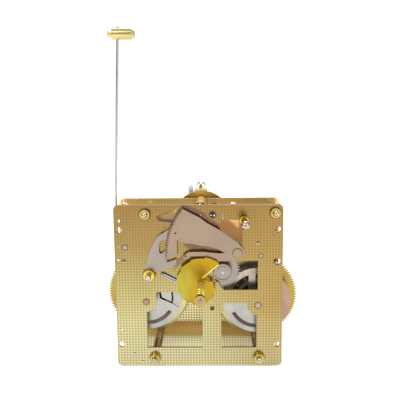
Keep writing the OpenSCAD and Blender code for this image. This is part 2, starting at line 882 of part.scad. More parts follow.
// Crutch, a flat arm that ends in a fork for the pendulum rod
crutch_w = 1.4;
crutch_t = 0.8;
fork_w = 3.2;
fork_len = 7.5;
module crutch() {
    foot = -crutch_len - crutch_t / 2;
    color("silver") at(verge_at) {
        sheet(crutch_layer, crutch_t) difference() {
            union() {
                circle(r = hub_r);
                bar([0, 0], [0, -crutch_len], crutch_w);
            }
            circle(r = verge_arbor_r + press_fit);
        }
        for (x = [-fork_w / 2, fork_w / 2 - crutch_t]) {
            translate([x, crutch_layer, foot]) cube([crutch_t, fork_len, crutch_t]);
        }
        translate([-fork_w / 2, crutch_layer, foot]) cube([fork_w, crutch_t, crutch_t]);
    }
}
cock_at = placed([1.8, 85.6]);
spacer_r = 2;
cock_screw_r = 1;
cock_screw_head_r = 1.8;
cock_screw_head_h = 1.1;
cock_screw_inset = 4;
cock_screw_dirs = [35, 145, 215, 325];
module cock_spots() {
    for (a = cock_screw_dirs) {
        at(cock_at) rotate([0, -a, 0]) translate([cock_r - cock_screw_inset, 0, 0]) children();
    }
}
module verge_cock() {
    color("goldenrod") difference() {
        at(cock_at) turned(cock_r, cock_layer, cock_layer + plate_t);
        at(verge_at) turned(verge_pivot_r + run_fit, back_out, cock_layer + plate_t + 1);
        cock_spots() turned(cock_screw_r, back_out, cock_layer + plate_t + 1);
    }
}
// Spacers with their screws, between the back plate and the cock
module cock_spacers() {
    color("silver") cock_spots() {
        turned(spacer_r, back_out, cock_layer);
        turned(cock_screw_r - press_fit, back_out, cock_layer + plate_t);
        turned(cock_screw_head_r, cock_layer + plate_t, cock_layer + plate_t + cock_screw_head_h);
    }
}
// Open sleeve on the back plate, over the verge
sleeve_front = front_in + 3.9;
sleeve_wall = 0.8;
module top_sleeve() {
    color("gold") at([centre_at[0], sleeve_z * plan[1]])
        ring(sleeve_r, sleeve_r - sleeve_wall, sleeve_front, back_in);
}
// Brass block on the cock's top that holds the pendulum's suspension spring
post_at = cock_at + [-0.6, 19];
post_r = 4;
post_len = 8;
post_foot = 6;
post_foot_t = 2;
spring_slot = 0.8;
slot_start = 3;
slot_top = 2.5;
slot_sight = 0.8;
module suspension_post() {
    y0 = cock_layer + plate_t;
    slot_low = -post_foot - 1;
    color("gold") at(post_at) difference() {
        union() {
            turned(post_r, y0, y0 + post_len);
            translate([-post_r, y0, -post_foot]) cube([2 * post_r, post_foot_t, post_foot]);
        }
        translate([-spring_slot / 2, y0 + slot_start, slot_low])
            cube([spring_slot, post_len, slot_top - slot_low]);
        translate([-spring_slot / 2, y0 - 1, slot_sight]) cube([spring_slot, post_len + 2, post_r]);
    }
}
// Steel clip that stands beside the block and reaches behind it
clip_w = 2;
clip_t = 2.4;
clip_foot_t = 1.2;
clip_h = 7.8;
clip_foot = 5.4;
clip_out = 2.6;
module suspension_pin() {
    color("silver") at(post_at) translate([-post_r - clip_out, cock_layer + plate_t, -clip_foot]) {
        cube([clip_w, clip_t, clip_h]);
        cube([clip_out, clip_foot_t, clip_t]);
    }
}

// Motion work in front of the plate
minute_turn = mesh_turn(centre_at, minute_at, cannon_leaves, minute_teeth);
module minute_wheel() {
    bore = fine_arbor_r + run_fit;
    y0 = minute_layer - lever_t + 0.05;
    color("gold") at(minute_at) difference() {
        union() {
            sheet(y0, lever_t - 0.1) rotate(minute_turn)
                polygon(gear_points(minute_teeth, minute_mod, wheel_form));
            pinion(minute_leaves, hour_mod, hour_layer - lever_t - 0.1, lever_t + y0 - hour_layer + 0.1);
        }
        turned(bore, hour_layer - 3, front_out);
    }
}
module hour_wheel() {
    bore = cannon_r + run_fit;
    turn = mesh_turn(minute_at, centre_at, minute_leaves, hour_teeth);
    y0 = hour_layer - lever_t + 0.05;
    color("gold") at(centre_at) difference() {
        union() {
            sheet(y0, lever_t - 0.1) rotate(turn)
                polygon(gear_points(hour_teeth, hour_mod, wheel_form));
            turned(hour_r, front_out - hour_len, y0);
        }
        turned(bore, front_out - hour_len - 1, front_out);
    }
}
module snail_hub() {
    color("gold") at(centre_at) ring(snail_hub_r, hour_r + press_fit, snail_layer, hub_layer);
}
// Snail with one step for each hour, the highest step first, and a notch after the lowest
snail_from = 52;
steps = 12;
snail_fall = 0.75;
notch_r = 4.3;
snail_lean = 30;
module snail() {
    step = 360 / steps;
    fall = snail_r - snail_low_r;
    color("gold") at(centre_at) sheet(snail_layer - snail_t, snail_t) difference() {
        polygon(concat([for (i = [0 : steps - 2], s = [0, 0.25, 0.5, 0.75, 1])
            let (r = snail_low_r + fall * pow(1 - i / (steps - 1), snail_fall))
                polar(r, snail_from + (i + s) * step)],
            [for (s = [0.1, 0.4, 0.7, 0.95])
                polar(snail_low_r - (snail_low_r - notch_r) * s * s, snail_from + (s - 1) * step)],
            [for (s = [0.5, 1]) polar(notch_r, snail_from + s * snail_lean)]));
        circle(r = hour_r + press_fit);
    }
}

// Strike train
module strike_second_arbor() {
    turn = mesh_turn(strike_great_at, strike_second_at, great_teeth, second_leaves);
    color("silver") at(strike_second_at) {
        arbor(mid_arbor_r, mid_pivot_r);
        pinion(second_leaves, great_strike_mod, great_layer - pinion_over, great_t + 2 * pinion_over,
            turn);
    }
}
module strike_second_wheel() {
    color("gold") at(strike_second_at)
        wheel(strike_second_teeth, second_strike_mod, second_layer, wheel_t,
            mid_arbor_r + press_fit, 4);
}
module cam_arbor() {
    turn = mesh_turn(strike_second_at, cam_at, strike_second_teeth, cam_leaves);
    color("silver") at(cam_at) {
        arbor(fine_arbor_r, fine_pivot_r);
        pinion(cam_leaves, second_strike_mod, second_layer - leaf_over, wheel_t + 2 * leaf_over, turn);
    }
}
module cam_wheel() {
    color("gold") at(cam_at)
        wheel(cam_teeth, cam_mod, cam_layer, wheel_t, fine_arbor_r + press_fit, 4);
}
// Two-lobed cam that lifts the hammer's tail
cam_lobe_r = 4;
cam_lobe_t = 2;
cam_hub_r = 2.2;
module hammer_cam() {
    color("silver") at(cam_at) sheet(cam_lobe_layer, cam_lobe_t) difference() {
        union() {
            circle(r = cam_hub_r);
            for (a = [10, 190]) {
                rotate(a) polygon([[0, -2], [cam_lobe_r, -0.7], [cam_lobe_r, 0.3], [0, 2]]);
            }
        }
        circle(r = fine_arbor_r + press_fit);
    }
}
module warning_arbor() {
    turn = mesh_turn(cam_at, warning_at, cam_teeth, fly_leaves);
    color("silver") at(warning_at) {
        arbor(fine_arbor_r, fine_pivot_r);
        pinion(fly_leaves, cam_mod, cam_layer - leaf_over, wheel_t + 2 * leaf_over, turn);
    }
}
module warning_wheel() {
    color("gold") at(warning_at)
        wheel(warning_teeth, warning_mod, warning_layer, light_t, fine_arbor_r + press_fit, 4);
}
module fly_arbor() {
    turn = mesh_turn(warning_at, fly_at, warning_teeth, fly_leaves);
    color("silver") at(fly_at) {
        arbor(fine_arbor_r - 0.1, fine_pivot_r);
        pinion(fly_leaves, warning_mod, warning_layer - leaf_over, light_t + 2 * leaf_over, turn);
    }
}
fly_r = 7.4;
fly_blade_t = 0.5;
fly_pipe_wall = 0.7;
module fly() {
    bore = fine_arbor_r - 0.1 + press_fit;
    color("gold") at(fly_at) difference() {
        union() {
            translate([-fly_r, fly_layer, -fly_blade_t / 2])
                cube([2 * fly_r, fly_end - fly_layer, fly_blade_t]);
            turned(bore + fly_pipe_wall, fly_layer, fly_end);
        }
        turned(bore, fly_layer - 1, fly_end + 1);
    }
}

// Hammer
rod_bottom = hammer_at + [-6.8, 0.6];
rod_bend = rod_bottom + [-0.2, 26];
rod_top = [rod_bottom[0] + 4, hammer_z + head_r + 0.6];
rod_lean = atan2(rod_top[0] - rod_bend[0], rod_top[1] - rod_bend[1]);
rod_foot = 2.5;
rod_y = front_in + 10.75;
hub_len = 3;
hammer_hub_r = 2.2;
hammer_tail_w = 1.6;
hammer_tail_t = 1.4;
hammer_boss_w = 3;
module hammer_arbor() {
    tail = cam_at - hammer_at + [-2.5, 4.8];
    boss = rod_bottom - hammer_at;
    y0 = rod_y - hub_len / 2;
    color("silver") at(hammer_at) {
        arbor(mid_arbor_r, mid_pivot_r);
        sheet(cam_lobe_layer, hammer_tail_t) bar([0, 0], tail, hammer_tail_w);
        difference() {
            union() {
                turned(hammer_hub_r, y0, y0 + hub_len);
                sheet(y0, hub_len) bar([0, 0], boss, hammer_boss_w);
            }
            translate([boss[0], rod_y, boss[1] - hammer_boss_w - 1])
                cylinder(r = rod_r + press_fit, h = 2 * hammer_boss_w + 2);
        }
    }
}
// Hammer rod: a short straight foot, then a long straight leaning stretch
module hammer_rod() {
    color("silver") {
        translate([rod_bottom[0], rod_y, rod_bottom[1] - rod_foot])
            cylinder(r = rod_r, h = rod_bend[1] - rod_bottom[1] + rod_foot);
        translate([rod_bottom[0], rod_y, rod_bend[1]]) sphere(r = rod_r);
        translate([rod_bottom[0], rod_y, rod_bend[1]]) rotate([0, rod_lean, 0])
            cylinder(r = rod_r, h = norm(rod_top - rod_bend));
    }
}
// Hammer head with its bevelled right end and, on the left, the slotted screw that clamps it
head_over = 9.8;
head_bevel = 1.6;
head_screw_r = 1.7;
head_screw_h = 2.6;
head_slot_w = 0.6;
head_slot_depth = 0.6;
module hammer_head() {
    right = rod_top[0] + head_over;
    left = right - head_len;
    screw_end = left - head_screw_h;
    color("gold") difference() {
        union() {
            translate([left, rod_y, hammer_z]) rotate([0, 90, 0]) rotate_extrude()
                polygon([[0, 0], [head_r, 0], [head_r, head_len - head_bevel],
                    [head_r * 0.6, head_len], [0, head_len]]);
            translate([screw_end, rod_y, hammer_z]) rotate([0, 90, 0])
                cylinder(r = head_screw_r, h = head_screw_h + head_bevel);
        }
        translate([rod_bottom[0], rod_y, rod_bend[1]]) rotate([0, rod_lean, 0])
            cylinder(r = rod_r + press_fit, h = norm(rod_top - rod_bend) + head_r);
        translate([screw_end - 1, rod_y - head_slot_w / 2, hammer_z - head_r])
            cube([1 + head_slot_depth, head_slot_w, 2 * head_r]);
    }
}

// Striking levers
rack_from = 141;
rack_to = 181;
rack_cutout_r = 6.9;
rack_tail_pin = [-30.8, -2.2];
rack_pin_r = 0.8;
rack_pin_eye = 1.4;
rack_hub_r = 3.8;
rack_eyelet = [-36.3, 12.2];
rack_eyelet_r = 0.6;
function rack_band() =
    let (step = (rack_to - rack_from) / rack_teeth)
    [for (i = [0 : rack_teeth - 1], s = [[rack_r - rack_tooth, 0], [rack_r, 0.45],
        [rack_r, 0.6], [rack_r - rack_tooth, 0.8]])
        polar(s[0], rack_from + (i + s[1]) * step)];
rack_body = [[-40.8, -1.1], [-35.6, -1.9], [-35.5, 8.1], [-30.7, 6.3], [-26.6, 5.9], [-22, 4.9],
    [-16.1, 4.1], [-11.7, 2.6], [-7.2, 0.2], [-10.6, 0], [-20.5, 1], [-28.2, 0.9],
    [-30.2, 0.1], [-31.2, -1.5], [-30.3, -3.2], [-29.1, -3.2], [-27.8, -1.7], [-19.1, -1.6],
    [-13.2, -3.1], [-10.8, -5], [-9, -6], [-3, -3], [1, -3.6], [3.6, -1.2], [3.8, 1],
    [3.2, 2.9], [0.3, 6.2], [-5, 10.1], [-11.4, 14.6], [-17.8, 18.2], [-22.1, 21.5],
    [-32.5, 26.9]];
module rack() {
    color("silver") at(rack_at) {
        sheet(rack_layer, rack_t) difference() {
            union() {
                polygon(concat(rack_band(), rack_body));
                circle(r = rack_hub_r);
                hole(rack_tail_pin, rack_pin_eye);
            }
            circle(r = stud_r + run_fit);
            hole(time_second_at - rack_at, rack_cutout_r);
            hole(rack_eyelet, rack_eyelet_r);
        }
        at(rack_tail_pin) turned(rack_pin_r, snail_layer - snail_t, rack_layer + rack_t / 2);
    }
}
hook_outline = [[-2.8, 0.4], [-2.7, 2.6], [-2.4, 4.6], [-1.4, 7.9], [-0.1, 12.5], [1.4, 16.1],
    [3, 19.1], [5.2, 22.7], [6.9, 24.2], [9.3, 25.4], [11.6, 26.9], [14.2, 30.7], [16, 29.4],
    [12.9, 24.5], [11.9, 18.9], [12.5, 14.8], [12.2, 10.8], [10.4, 8.1], [11, 7.4], [13.7, 8.4],
    [16.3, 9.2], [16.3, 6], [10.3, 3.1], [6.4, 2.2], [3.1, 1.1], [1.6, -2.3], [-1.6, -2.2]];
crescent = [[8, 21.2], [6.8, 20], [6.3, 17.3], [6, 14.9], [6.4, 13], [7.2, 12.4], [8.4, 13.3],
    [9.6, 14.5], [9.7, 16], [9.9, 18.5], [9.8, 20.6]];
hook_hub_r = 2.9;
module rack_hook() {
    color("silver") at(hook_at) sheet(hook_layer, lever_t) difference() {
        union() {
            polygon(hook_outline);
            circle(r = hook_hub_r);
        }
        circle(r = stud_r + run_fit);
        polygon(crescent);
    }
}
// Lifting lever, whose pin reaches under the hook's tail
lifting_pin_r = 0.8;
lever_tip = [-13.8, 7.4];
lever_heel = [10.5, -4.1];
lever_hub_r = 3;
lever_tip_w = 2.2;
lever_heel_w = 2;
module lifting_lever() {
    color("silver") at(lever_at) {
        sheet(minute_layer - lever_t, lever_t) difference() {
            union() {
                circle(r = lever_hub_r);
                bar([0, 0], lever_tip, lever_tip_w);
                bar([0, 0], lever_heel, lever_heel_w);
            }
            circle(r = stud_r + run_fit);
        }
        at(lever_tip) turned(lifting_pin_r, hook_layer, minute_layer - lever_t / 2);
    }
}

front_plate();
back_plate();
pillars();
top_nuts();
bottom_nuts();
dial_post();
studs();
hook_post();
stud_collars();
hook_guard();
time_great_arbor();
time_great_wheel();
time_click();
time_click_spring();
time_chain_wheel();
time_click_disc();
time_second_arbor();
time_second_wheel();
front_drum();
centre_arbor();
centre_wheel();
cannon_pinion();
hand_nut();
third_arbor();
third_wheel();
escape_arbor();
escape_wheel();
verge_arbor();
anchor();
crutch();
verge_cock();
cock_spacers();
top_sleeve();
suspension_post();
suspension_pin();
minute_wheel();
hour_wheel();
snail_hub();
snail();
strike_great_arbor();
strike_great_wheel();
strike_click();
strike_click_spring();
strike_chain_wheel();
strike_click_disc();
strike_second_arbor();
strike_second_wheel();
cam_arbor();
cam_wheel();
hammer_cam();
warning_arbor();
warning_wheel();
fly_arbor();
fly();
hammer_arbor();
hammer_rod();
hammer_head();
rack();
rack_hook();
lifting_lever();
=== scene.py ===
import math
from collections import namedtuple

import bmesh
import bpy
from mathutils import Matrix, Vector


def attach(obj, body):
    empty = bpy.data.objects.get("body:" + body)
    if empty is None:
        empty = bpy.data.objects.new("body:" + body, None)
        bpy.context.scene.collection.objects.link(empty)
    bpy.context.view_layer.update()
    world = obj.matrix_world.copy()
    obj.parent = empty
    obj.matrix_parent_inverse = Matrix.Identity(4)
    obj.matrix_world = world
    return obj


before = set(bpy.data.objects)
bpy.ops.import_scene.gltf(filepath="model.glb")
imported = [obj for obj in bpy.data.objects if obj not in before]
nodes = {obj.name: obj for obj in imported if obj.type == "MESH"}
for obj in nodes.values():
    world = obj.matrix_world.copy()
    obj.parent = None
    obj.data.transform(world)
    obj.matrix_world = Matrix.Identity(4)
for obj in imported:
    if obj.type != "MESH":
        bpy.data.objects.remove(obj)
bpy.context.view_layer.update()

MM = 0.001

# Places in mm. Y is the depth, from the viewer to the back, and a pair is (x, z).
FACE = -0.75  # of the front plate
BACK_FACE = 22.75  # of the back plate, seen through the windows
PLATE_HEIGHT = 100.0
HOOK_REAR = -2.4
RACK_REAR = -3.65
SNAIL_REAR = -5.75
HANDS = (1.4, 52.5)
SECOND_ARBOR = (14.2, 59.9)
TIME_BARREL = (35.4, 38.4)
STRIKE_BARREL = (-31.8, 40.8)
DIAL_POST = (26.9, 91.0)
HOOK_POST = (-29.3, 58.6)
RACK_STUD = (23.0, 71.5)
SLEEVE = (1.4, 98.0)
BALL = (8.5, 94.0)
SCREW = (-43.7, 74.6)
TOP_RIVET = (-3.9, 94.2)
RIGHT_RIVET = (36.9, 69.1)
EMBOSSED = (45.1, 82.8)

# The bodies that small pieces ride on, other than the frame
SNAIL_BODY = "hour"
DRUM_BODY = "time_second"
HAND_BODY = "centre"

CAMERA_PLACE = (8.30, -352.75, 161.77)
CAMERA_ANGLES = (9.516, 1.153, -0.569)  # elevation, azimuth and roll in degrees
CAMERA_LENS = 54.97
CAMERA_SENSOR = 36
LIGHT_TARGET = (0, 0, 0.06)
BACKDROP = (1.02, 1.02, 1.02, 1)


# ---------------------------------------------------------------- shader nodes
def add(tree, kind, inputs=None, **settings):
    made = tree.nodes.new("ShaderNode" + kind)
    for name, value in settings.items():
        setattr(made, name, value)
    for key, value in (inputs or {}).items():
        if isinstance(value, bpy.types.NodeSocket):
            tree.links.new(value, made.inputs[key])
        else:
            made.inputs[key].default_value = value
    return made


def ramp(tree, factor, stops, smooth=False):
    """A colour ramp; each stop is (position, colour or grey value), in rising order."""
    made = add(tree, "ValToRGB", {0: factor})
    made.color_ramp.interpolation = "EASE" if smooth else "LINEAR"
    elements = made.color_ramp.elements
    elements.remove(elements[1])
    for i, (position, colour) in enumerate(stops):
        # A stop is made in its place, because moving one past another reorders them
        element = elements.new(position) if i else elements[0]
        element.position = position
        element.color = (*colour, 1) if hasattr(colour, "__len__") else (colour,) * 3 + (1,)
    return made.outputs[0]


def noise(tree, place, scale, detail=4, stretch=None):
    if stretch:
        place = add(tree, "VectorMath", {0: place, 1: stretch}, operation="MULTIPLY").outputs[0]
    inputs = {"Vector": place, "Scale": scale, "Detail": detail, "Roughness": 0.55}
    return add(tree, "TexNoise", inputs).outputs["Fac"]


def maths(tree, operation, a, b=0.0, c=0.0, clamp=False):
    inputs = {0: a, 1: b, 2: c}
    return add(tree, "Math", inputs, operation=operation, use_clamp=clamp).outputs[0]


def along(tree, place, axis):
    return add(tree, "SeparateXYZ", {0: place}).outputs[axis]


def fade(tree, value, full, none):
    """1 where value is at full, falling to 0 at none."""
    inputs = {"Value": value, "From Min": full, "From Max": none, "To Min": 1.0, "To Max": 0.0}
    return add(tree, "MapRange", inputs).outputs[0]


def blend_colours(tree, factor, a, b):
    def four(colour):
        return colour if isinstance(colour, bpy.types.NodeSocket) else (*colour, 1)

    return add(tree, "MixRGB", {0: factor, 1: four(a), 2: four(b)}, blend_type="MIX").outputs[0]


class Shader:
    """A principled material with its object coordinates, to which colour and relief are linked."""

    def __init__(self, name, metallic, roughness, **sockets):
        self.material = bpy.data.materials.new(name)
        self.material.use_nodes = True
        self.tree = self.material.node_tree
        self.tree.nodes.clear()
        out = add(self.tree, "OutputMaterial")
        inputs = {"Metallic": metallic, "Roughness": roughness, **sockets}
        self.bsdf = add(self.tree, "BsdfPrincipled", inputs)
        self.tree.links.new(self.bsdf.outputs[0], out.inputs[0])
        self.place = add(self.tree, "TexCoord").outputs["Object"]

    def link(self, socket, name):
        self.tree.links.new(socket, self.bsdf.inputs[name])

    def roughness(self, socket, low, high):
        inputs = {"Value": socket, "To Min": low, "To Max": high}
        self.link(add(self.tree, "MapRange", inputs).outputs[0], "Roughness")

    def relief(self, height, distance, strength, edge):
        """Bump of this distance (mm), on edges rounded by the radius edge (mm)."""
        worn = add(self.tree, "Bevel", {"Radius": edge * MM}, samples=4).outputs[0]
        inputs = {"Height": height, "Distance": distance * MM, "Strength": strength, "Normal": worn}
        self.link(add(self.tree, "Bump", inputs).outputs[0], "Normal")


# ---------------------------------------------------------------- camera and light
def look_through_camera():
    elevation, azimuth, roll = (math.radians(a) for a in CAMERA_ANGLES)
    level = math.cos(elevation)
    back = Vector((math.sin(azimuth) * level, -math.cos(azimuth) * level, math.sin(elevation)))
    right = (-back).cross(Vector((0, 0, 1))).normalized()
    up = right.cross(-back)
    tilted_right = math.cos(roll) * right + math.sin(roll) * up
    tilted_up = -math.sin(roll) * right + math.cos(roll) * up
    data = bpy.data.cameras.new("camera")
    data.sensor_width = CAMERA_SENSOR
    data.lens = CAMERA_LENS
    data.clip_start = 0.01
    camera = bpy.data.objects.new("camera", data)
    bpy.context.scene.collection.objects.link(camera)
    turn = Matrix((tilted_right, tilted_up, back)).transposed().to_4x4()
    camera.matrix_world = Matrix.Translation(Vector(CAMERA_PLACE) * MM) @ turn
    bpy.context.scene.camera = camera


def area_light(name, place, size, power, colour=(1, 1, 1), target=LIGHT_TARGET):
    data = bpy.data.lights.new(name, "AREA")
    data.shape = "RECTANGLE"
    data.size, data.size_y = size
    data.energy = power
    data.color = colour
    light = bpy.data.objects.new(name, data)
    bpy.context.scene.collection.objects.link(light)
    light.location = place
    light.rotation_euler = (Vector(target) - Vector(place)).to_track_quat("-Z", "Y").to_euler()


def studio():
    scene = bpy.context.scene
    scene.view_settings.view_transform = "Standard"
    scene.view_settings.look = "None"
    world = bpy.data.worlds.new("studio")
    scene.world = world
    world.use_nodes = True
    tree = world.node_tree
    tree.nodes.clear()
    # The room is a white tent, dimmer towards the horizon and brighter overhead
    rise = along(tree, add(tree, "TexCoord").outputs["Generated"], "Z")
    tent = [(0.0, (0.42, 0.39, 0.36)), (0.25, (0.50, 0.49, 0.47)), (0.6, (0.76, 0.76, 0.76))]
    seen = add(tree, "LightPath").outputs["Is Camera Ray"]
    colour = add(tree, "MixRGB", {0: seen, 1: ramp(tree, rise, tent), 2: BACKDROP})
    background = add(tree, "Background", {0: colour.outputs[0], 1: 1.0})
    add(tree, "OutputWorld", {0: background.outputs[0]})
    area_light("key", (-0.45, -0.65, 0.75), (0.5, 0.5), 3.6, (1, 0.99, 0.97))
    area_light("fill", (0.7, -0.5, 0.45), (0.6, 0.6), 2.0, (1, 0.98, 0.95))
    area_light("back", (0.1, 0.6, 0.8), (0.6, 0.4), 5, target=(0, 0, 0.08))

    mesh = bpy.data.meshes.new("floor")
    bm = bmesh.new()
    bmesh.ops.create_grid(bm, x_segments=8, y_segments=8, size=12)
    bm.to_mesh(mesh)
    bm.free()
    floor = bpy.data.objects.new("floor", mesh)
    floor.location = (0, 0, -0.2 * MM)
    scene.collection.objects.link(floor)
    glow = {"Emission Color": (1, 1, 1, 1), "Emission Strength": 0.50}
    paper = Shader("floor_paper", 0.0, 0.9, **glow)
    grain = noise(paper.tree, paper.place, 400, 3)
    greys = [(0.3, (0.80, 0.80, 0.79)), (0.7, (0.84, 0.84, 0.83))]
    paper.link(ramp(paper.tree, grain, greys), "Base Color")
    floor.data.materials.append(paper.material)


# ---------------------------------------------------------------- marks on polished metal
# A mark covers out to reach from its line or circle, and fades over soft (mm); on the plates, rack,
# hook, lever and guard it is painted shade in brown, and on the snail a patch of its own tone. A
# ring with above keeps only what lies over that height.
Line = namedtuple("Line", "start end reach soft strength")
Ring = namedtuple("Ring", "centre radius reach soft strength above", defaults=(None,))
ABOVE_FADE = 5.0


def near_line(t, flat, line):
    start, end = (Vector((x, 0, z)) * MM for x, z in (line.start, line.end))
    way = end - start
    gap = add(t, "VectorMath", {0: flat, 1: start}, operation="SUBTRACT").outputs[0]
    inputs = {0: gap, 1: way / way.length_squared}
    part = add(t, "VectorMath", inputs, operation="DOT_PRODUCT").outputs["Value"]
    part = maths(t, "MULTIPLY", part, 1.0, clamp=True)
    foot = add(t, "VectorMath", {0: way, "Scale": part}, operation="SCALE").outputs[0]
    away = add(t, "VectorMath", {0: gap, 1: foot}, operation="DISTANCE").outputs["Value"]
    return fade(t, away, line.reach * MM, (line.reach + line.soft) * MM)


def near_ring(t, flat, height, ring):
    centre = (ring.centre[0] * MM, 0, ring.centre[1] * MM)
    gap = add(t, "VectorMath", {0: flat, 1: centre}, operation="DISTANCE").outputs["Value"]
    away = maths(t, "ABSOLUTE", maths(t, "SUBTRACT", gap, ring.radius * MM))
    near = fade(t, away, ring.reach * MM, (ring.reach + ring.soft) * MM)
    if ring.above is None:
        return near
    top, bottom = (ring.above + ABOVE_FADE) * MM, ring.above * MM
    return maths(t, "MULTIPLY", near, fade(t, height, top, bottom))


def shade_and_stain_cover(t, place, marks):
    """How far the marks cover the metal, from 0 to 1, broken up a little by patches."""
    flat = add(t, "VectorMath", {0: place, 1: (1, 0, 1)}, operation="MULTIPLY").outputs[0]
    height = along(t, place, "Z")
    total = 0.0
    for mark in marks:
        if isinstance(mark, Line):
            near = near_line(t, flat, mark)
        else:
            near = near_ring(t, flat, height, mark)
        total = maths(t, "MAXIMUM", total, maths(t, "MULTIPLY", near, mark.strength))
    patches = noise(t, place, 420, 3)
    return maths(t, "MULTIPLY", total, ramp(t, patches, [(0.35, 0.70), (0.60, 1.0)]))


# ---------------------------------------------------------------- plates
GRID_PITCH = {"X": 1.76, "Z": 1.70}
SHINE_WIDTH = 45.0  # how far right of the middle the deeper gold is reached, in mm
PIT_BROWN = (0.16, 0.10, 0.03)
CLOUD_BROWN = (0.40, 0.23, 0.09)
RIGHT_GOLD = (0.36, 0.235, 0.07)
SPECK_BROWN = (0.25, 0.15, 0.05)
PAINTED_EDGE_HIGHLIGHT = (0.80, 0.68, 0.52)
# The brown of the painted shade beside and round the parts
PAINTED_SHADE_BROWN = (0.12, 0.068, 0.055)

# Tones, pit depths and glow from the bottom edge (0) to the top edge (1). The tones are a painted
# reflection, paler low down and darker high up, and on the back plate their bands paint what it
# mirrors through the windows; the glow is painted light on the back plate's inner face.
FRONT_PAINTED_REFLECTION = [
    (0.0, (0.64, 0.60, 0.36)), (0.25, (0.56, 0.51, 0.26)), (0.5, (0.43, 0.37, 0.155)),
    (0.75, (0.325, 0.225, 0.080)), (1.0, (0.30, 0.180, 0.058)),
]
FRONT_PITS = [(0.0, 0.62), (0.6, 0.50), (1.0, 0.34)]
BACK_PAINTED_REFLECTION = [
    (0.0, (0.86, 0.82, 0.52)), (0.095, (0.86, 0.80, 0.50)), (0.110, (0.80, 0.60, 0.24)),
    (0.190, (0.76, 0.47, 0.26)), (0.205, (0.60, 0.54, 0.28)), (0.35, (0.60, 0.52, 0.26)),
    (0.6, (0.62, 0.42, 0.18)), (0.70, (0.44, 0.26, 0.11)), (0.78, (0.35, 0.175, 0.072)),
    (0.90, (0.36, 0.19, 0.078)), (0.96, (0.80, 0.57, 0.19)),
]
BACK_PITS = [
    (0.0, 0.55), (0.095, 0.50), (0.105, 0.08), (0.195, 0.10), (0.210, 0.85), (0.45, 0.6),
    (0.60, 0.10), (0.85, 0.06), (1.0, 0.25),
]
BACK_GLOW = [
    (0.0, 0.07), (0.62, 0.10), (0.70, 0.45), (0.78, 0.95), (0.90, 0.92), (0.96, 0.48),
    (1.0, 0.42),
]

# Painted shade where the rack's toothed arc lies over the plate and the hook
RACK_ARC_SHADE = Ring((23.0, 71.7), 42.1, 0.5, 0.4, 0.75, above=66.0)
FRONT_PAINTED_SHADE = [
    # Painted shade beside the rack's upper edges, its arm and the lifting lever, where the plate
    # mirrors them darkly
    Line((-6.5, 97.9), (3.0, 93.4), 1.5, 1.0, 0.75),
    Line((4.5, 91.2), (22.5, 79.0), 1.3, 1.0, 0.80),
    Line((-6.6, 75.9), (14.6, 71.0), 1.4, 1.0, 0.80),
    Line((-21.3, 58.2), (-10.5, 52.4), 1.25, 0.8, 0.80),
    # Painted shade round the pillars' nuts, the dial post and the hook post
    Ring((-31.3, 94.6), 3.4, 0.3, 0.5, 0.55),
    Ring((45.3, 95.1), 3.4, 0.3, 0.5, 0.50),
    Ring((-27.1, 5.4), 3.4, 0.3, 0.5, 0.50),
    Ring((36.1, 5.7), 3.4, 0.3, 0.5, 0.50),
    Ring(DIAL_POST, 2.9, 0.3, 0.5, 0.35),
    Ring(HOOK_POST, 3.4, 0.4, 0.6, 0.60),
    # Painted shade beside the rack's teeth and over the snail
    RACK_ARC_SHADE,
    Ring((1.4, 54.6), 17.2, 1.0, 0.8, 0.70, above=59.0),
    # Painted shade round the barrels' pivots and the small pieces
    Ring(STRIKE_BARREL, 1.9, 0.4, 0.4, 0.55),
    Ring(TIME_BARREL, 1.9, 0.4, 0.4, 0.55),
    Ring(SCREW, 1.6, 0.3, 0.4, 0.55),
    Ring(BALL, 2.0, 0.3, 0.4, 0.75),
    Ring(TOP_RIVET, 1.1, 0.3, 0.5, 0.6),
    Ring(RIGHT_RIVET, 1.2, 0.3, 0.4, 0.5),
    Ring(EMBOSSED, 1.7, 0.15, 0.3, 0.45),
]
# Painted shade on the back plate: a band behind the top sleeve, and a dark ring behind each great
# wheel's teeth
BACK_PAINTED_SHADE = [
    Line((1.4, 94.0), (1.4, 99.0), 2.5, 3.0, 0.45),
    Ring((-31.8, 41.2), 25.3, 0.7, 0.4, 0.85),
    Ring((35.4, 38.8), 25.3, 0.7, 0.4, 0.85),
]


